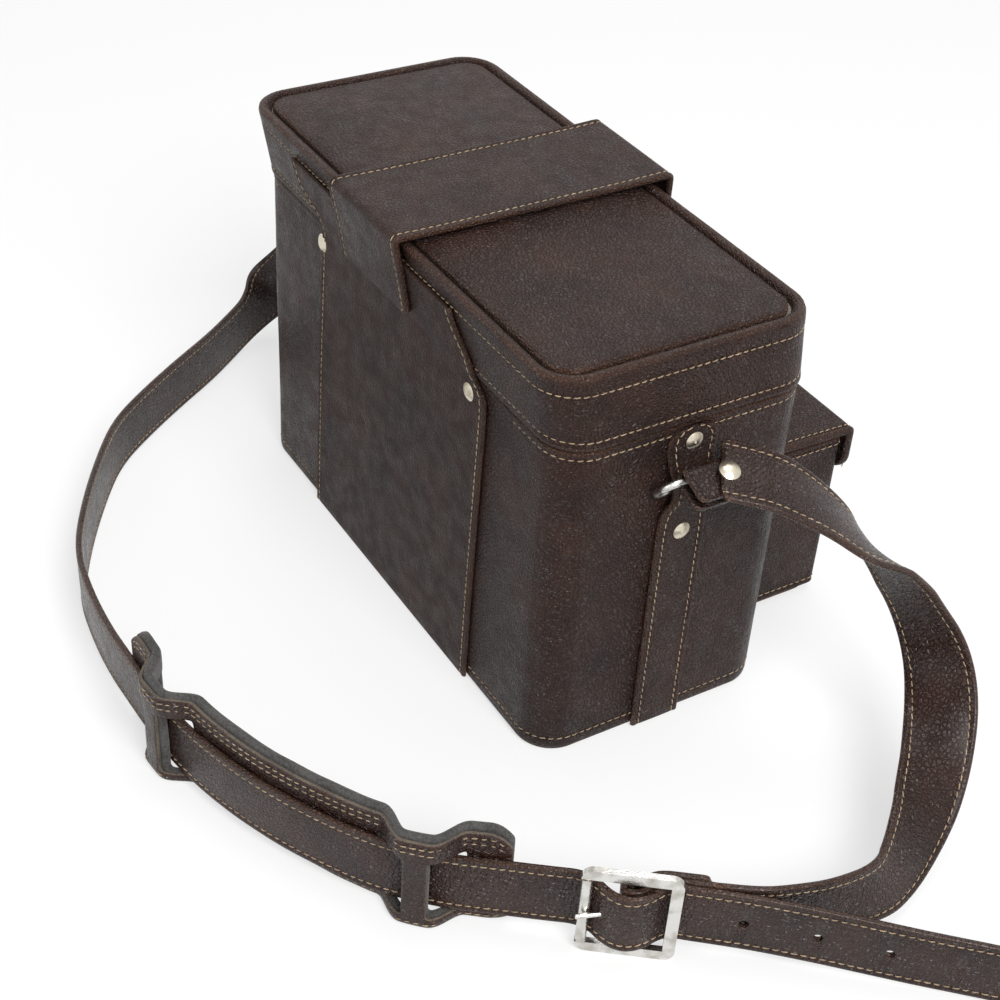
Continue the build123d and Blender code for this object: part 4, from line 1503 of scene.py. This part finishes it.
@dataclass
class Lid:
    """The leaning lid with its raised rim, sunk top and the belt over it."""

    shop: Workshop
    foot: float = 148.3
    rise: float = 32.7
    half_x: float = 125.8
    half_y: float = 56.8
    corner: float = 16.8
    least_corner: float = 2.5
    widening: float = 1.6
    back_shift: float = 4.6
    belt_at: float = 8.0
    belt_half: float = 28.0
    belt_thickness: float = 2.4
    tongue_radius: float = 14.0
    seam_lift: float = 1.08
    blend_start: Point = (0.008, -0.057, 0.178)
    blend_end: Point = (0.008, -0.0605, 0.171)

    def ring(
        self, inset: float, height: float, lean: Optional[float] = None
    ) -> list[tuple[Vector, Vector]]:
        """Lay a ring round the lid, leaning as its walls do.

        Args:
            inset: How far it lies inside the lid's outside.
            height: Its height.
            lean: Its share of the full lean, or None for the share at its height.

        Returns:
            The ring's points with the way out.
        """
        share = (height - self.foot) / self.rise if lean is None else lean
        return rounded_ring(
            self.half_x - inset,
            self.half_y + self.widening * share - inset,
            max(self.least_corner, self.corner - inset),
            height,
            self.back_shift * share,
        )

    def shell(self) -> None:
        """Make wall and raised rim in one, with the groove inside the rim, and sew it."""
        outside = [
            (0.9, 148.4), (0.1, 148.7), (-0.4, 149.5), (-0.45, 150.6), (-0.2, 151.6), (0.1, 152.6),
            (-0.2, 153.7), (-0.2, 160), (-0.2, 167), (-0.2, 172), (0.1, 173.3), (-0.2, 174.6), (-0.25, 177),
            (-0.2, 179.2), (0.3, 180.4), (1.4, 181.15), (2.9, 181.15), (4.1, 180.5), (4.7, 179.4),
            (4.9, 178.2), (5.6, 177.8), (7.0, 177.8), (7.2, 177.0),
        ]
        rings = [
            uneven(self.ring(inset, height), 0.3 if inset < 0.2 else 0.12)
            for inset, height in outside
        ]
        for inset, height, lean in ((2.9, 176.8, 0.85), (2.9, 158.0, 0.0), (2.9, 148.7, 0.0)):
            rings.append([place for place, _ in self.ring(inset, height, lean)])
        points, faces = skin(rings, loop=True)
        self.shop.piece("lid_shell", points, faces, Finish.LEATHER, "lid", ("lid_wall", "lid_rim_piping"))
        seams = [self.ring(-0.05, height) for height in (152.6, 173.3)]
        self.shop.stitches("lid_stitches", [seam + seam[:1] for seam in seams], "lid")

    def top(self) -> None:
        """Make the slightly crowned panel sunk inside the rim."""
        profile = [
            (6.35, 178.0), (6.3, 179.5), (6.6, 180.4), (7.6, 180.9), (9.5, 181.1), (14, 181.35),
            (22, 181.65), (32, 181.9), (43, 182.1), (52, 182.15),
        ]
        rings = [uneven(self.ring(inset, height, 1.0), 0.1) for inset, height in profile]
        edge, wave, swell = 9.0, 26.0, 0.35
        for ring, (inset, _) in zip(rings, profile):
            if inset > edge:
                for place in ring:
                    place.z += swell * noise.noise(place / wave)
        points, faces = skin(rings)
        self.shop.piece("lid_top_leather", points, faces, Finish.LEATHER, "lid", ("lid_top_panel",))

    def belt(self) -> None:
        """Make the wide belt over the lid, whose front end is the tongue."""
        path = [
            (60.9, 151.2), (61.1, 153), (61.8, 157.5), (63.4, 166), (65.4, 175.5), (66.5, 180.6),
            (67.0, 184.7), (62.6, 184.8), (57, 184.5), (40, 184.3), (20, 184.25), (0, 184.3), (-20, 184.25),
            (-40, 184.3), (-50, 184.5), (-55.5, 184.7), (-59.3, 184.6), (-59.3, 180.4), (-59.2, 175),
            (-59.1, 165), (-59.1, 150), (-59.0, 138), (-59.0, 128), (-59.0, 122), (-59.0, 117),
            (-59.0, 113.5), (-59.0, 112.2),
        ]
        stations = flat_band([(self.belt_at, y, z) for y, z in path], (-1, 0, 0), 10)
        width = rounded(self.belt_half, 2.0, self.tongue_radius)
        belt = self.shop.band(
            "belt_leather", stations, width, self.belt_thickness, Finish.LEATHER, None,
            ("lid_strap", "strap_tongue"),
        )
        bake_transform(belt)
        lift = math.copysign(self.seam_lift, stations[len(stations) // 2].out.z)
        lines = [
            edge_line(stations, lambda start, end: side * max(0.0, width(start, end) - SEAM_INSET), lift)
            for side in (-1, 1)
        ]
        stitches = self.shop.stitches("belt_stitches", lines, None)
        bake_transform(stitches)

    def build(self) -> None:
        """Make the lid and dress its solids."""
        self.shell()
        self.top()
        self.belt()
        wardrobe = self.shop.wardrobe
        wardrobe.dress(Finish.BOARD, "lid_top_board")
        wardrobe.dress(Finish.LINING, "lid_lining")
        wardrobe.dress(Finish.STUD, "tongue_snap_cap", "tongue_snap_socket")


@dataclass
class Pocket:
    """The front pocket and its flap."""

    shop: Workshop
    wall_middle: float = 43.5
    wall_half: float = 40.4
    wall_thickness: float = 2.5
    flap_half: float = 91.6
    flap_thickness: float = 3.4
    flap_lift: float = 1.62
    lip_seam: float = 67.4

    def wall(self) -> None:
        """Make and sew the pocket's three-sided wall."""
        path = [
            (-88.9, -56.6), (-88.9, -70), (-88.9, -88), (-88.9, -100), (-88.9, -106), (-88.9, -111.8),
            (-83, -111.8), (-76, -111.8), (-50, -111.8), (0, -111.8), (50, -111.8), (76, -111.8),
            (83, -111.8), (88.9, -111.8), (88.9, -106), (88.9, -100), (88.9, -88), (88.9, -70), (88.9, -56.6),
        ]
        stations = flat_band([(x, y, self.wall_middle) for x, y in path], UP, 10)
        self.shop.band(
            "pocket_wall_leather", stations, steady(self.wall_half), self.wall_thickness, Finish.LEATHER,
            nodes=("pocket_wall",),
        )
        outwards = math.copysign(self.wall_thickness / 2, -stations[0].out.x)
        lines = [edge_line(stations, steady(side * 36.8), outwards) for side in (-1, 1)]
        self.shop.stitches("pocket_stitches", lines)

    def flap(self) -> None:
        """Make and sew the flap over the pocket, rounded down at its front."""
        path = [
            (-59.7, 87.6), (-64, 87.5), (-80, 87.2), (-100, 86.7), (-109, 86.4), (-113.5, 86.2),
            (-115.9, 86.1), (-115.9, 82), (-115.9, 77), (-115.9, 71), (-115.9, 67), (-115.9, 64.2),
        ]
        stations = flat_band([(0, y, z) for y, z in path], (-1, 0, 0), 10)
        self.shop.band(
            "flap_leather_cover", stations, rounded(self.flap_half, 3.0, 9.0), self.flap_thickness,
            Finish.LEATHER, "pocket_flap", ("flap_leather",),
        )
        upwards = math.copysign(self.flap_lift, stations[1].out.z)
        lines = [edge_line(stations, steady(side * 88.2), upwards) for side in (-1, 1)]
        front = stations[-1].place
        out = stations[-1].out if upwards > 0 else -stations[-1].out
        lines.append(
            [(Vector((x, front.y, self.lip_seam)) + out * self.flap_lift, out) for x in range(-84, 85, 6)]
        )
        self.shop.stitches("flap_stitches", lines, "pocket_flap")

    def build(self) -> None:
        """Make the pocket and dress its solids."""
        self.wall()
        self.flap()
        wardrobe = self.shop.wardrobe
        wardrobe.dress(Finish.LEATHER, "pocket_base")
        wardrobe.dress(Finish.LINING, "pocket_lining")
        wardrobe.dress(Finish.STUD, "pocket_snap_stud", "flap_snap_cap", "flap_snap_socket")


def main() -> None:
    """Build the studio, the strap, the case, its lid and its pocket."""
    logging.basicConfig(level=logging.INFO, format="%(message)s")
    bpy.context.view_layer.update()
    Studio().build()
    shop = Workshop(Wardrobe())
    ShoulderStrap(shop).build(ShoulderPad(shop))
    CaseBody(shop).build()
    Lid(shop).build()
    Pocket(shop).build()
    shop.wardrobe.dress(Finish.NICKEL, "buckle_frame", "buckle_roller", "buckle_prong")
    shop.wardrobe.dress(Finish.NICKEL, "strap_ring_left", "strap_ring_right")
    log.info("sizes written")


if __name__ == "__main__":
    main()
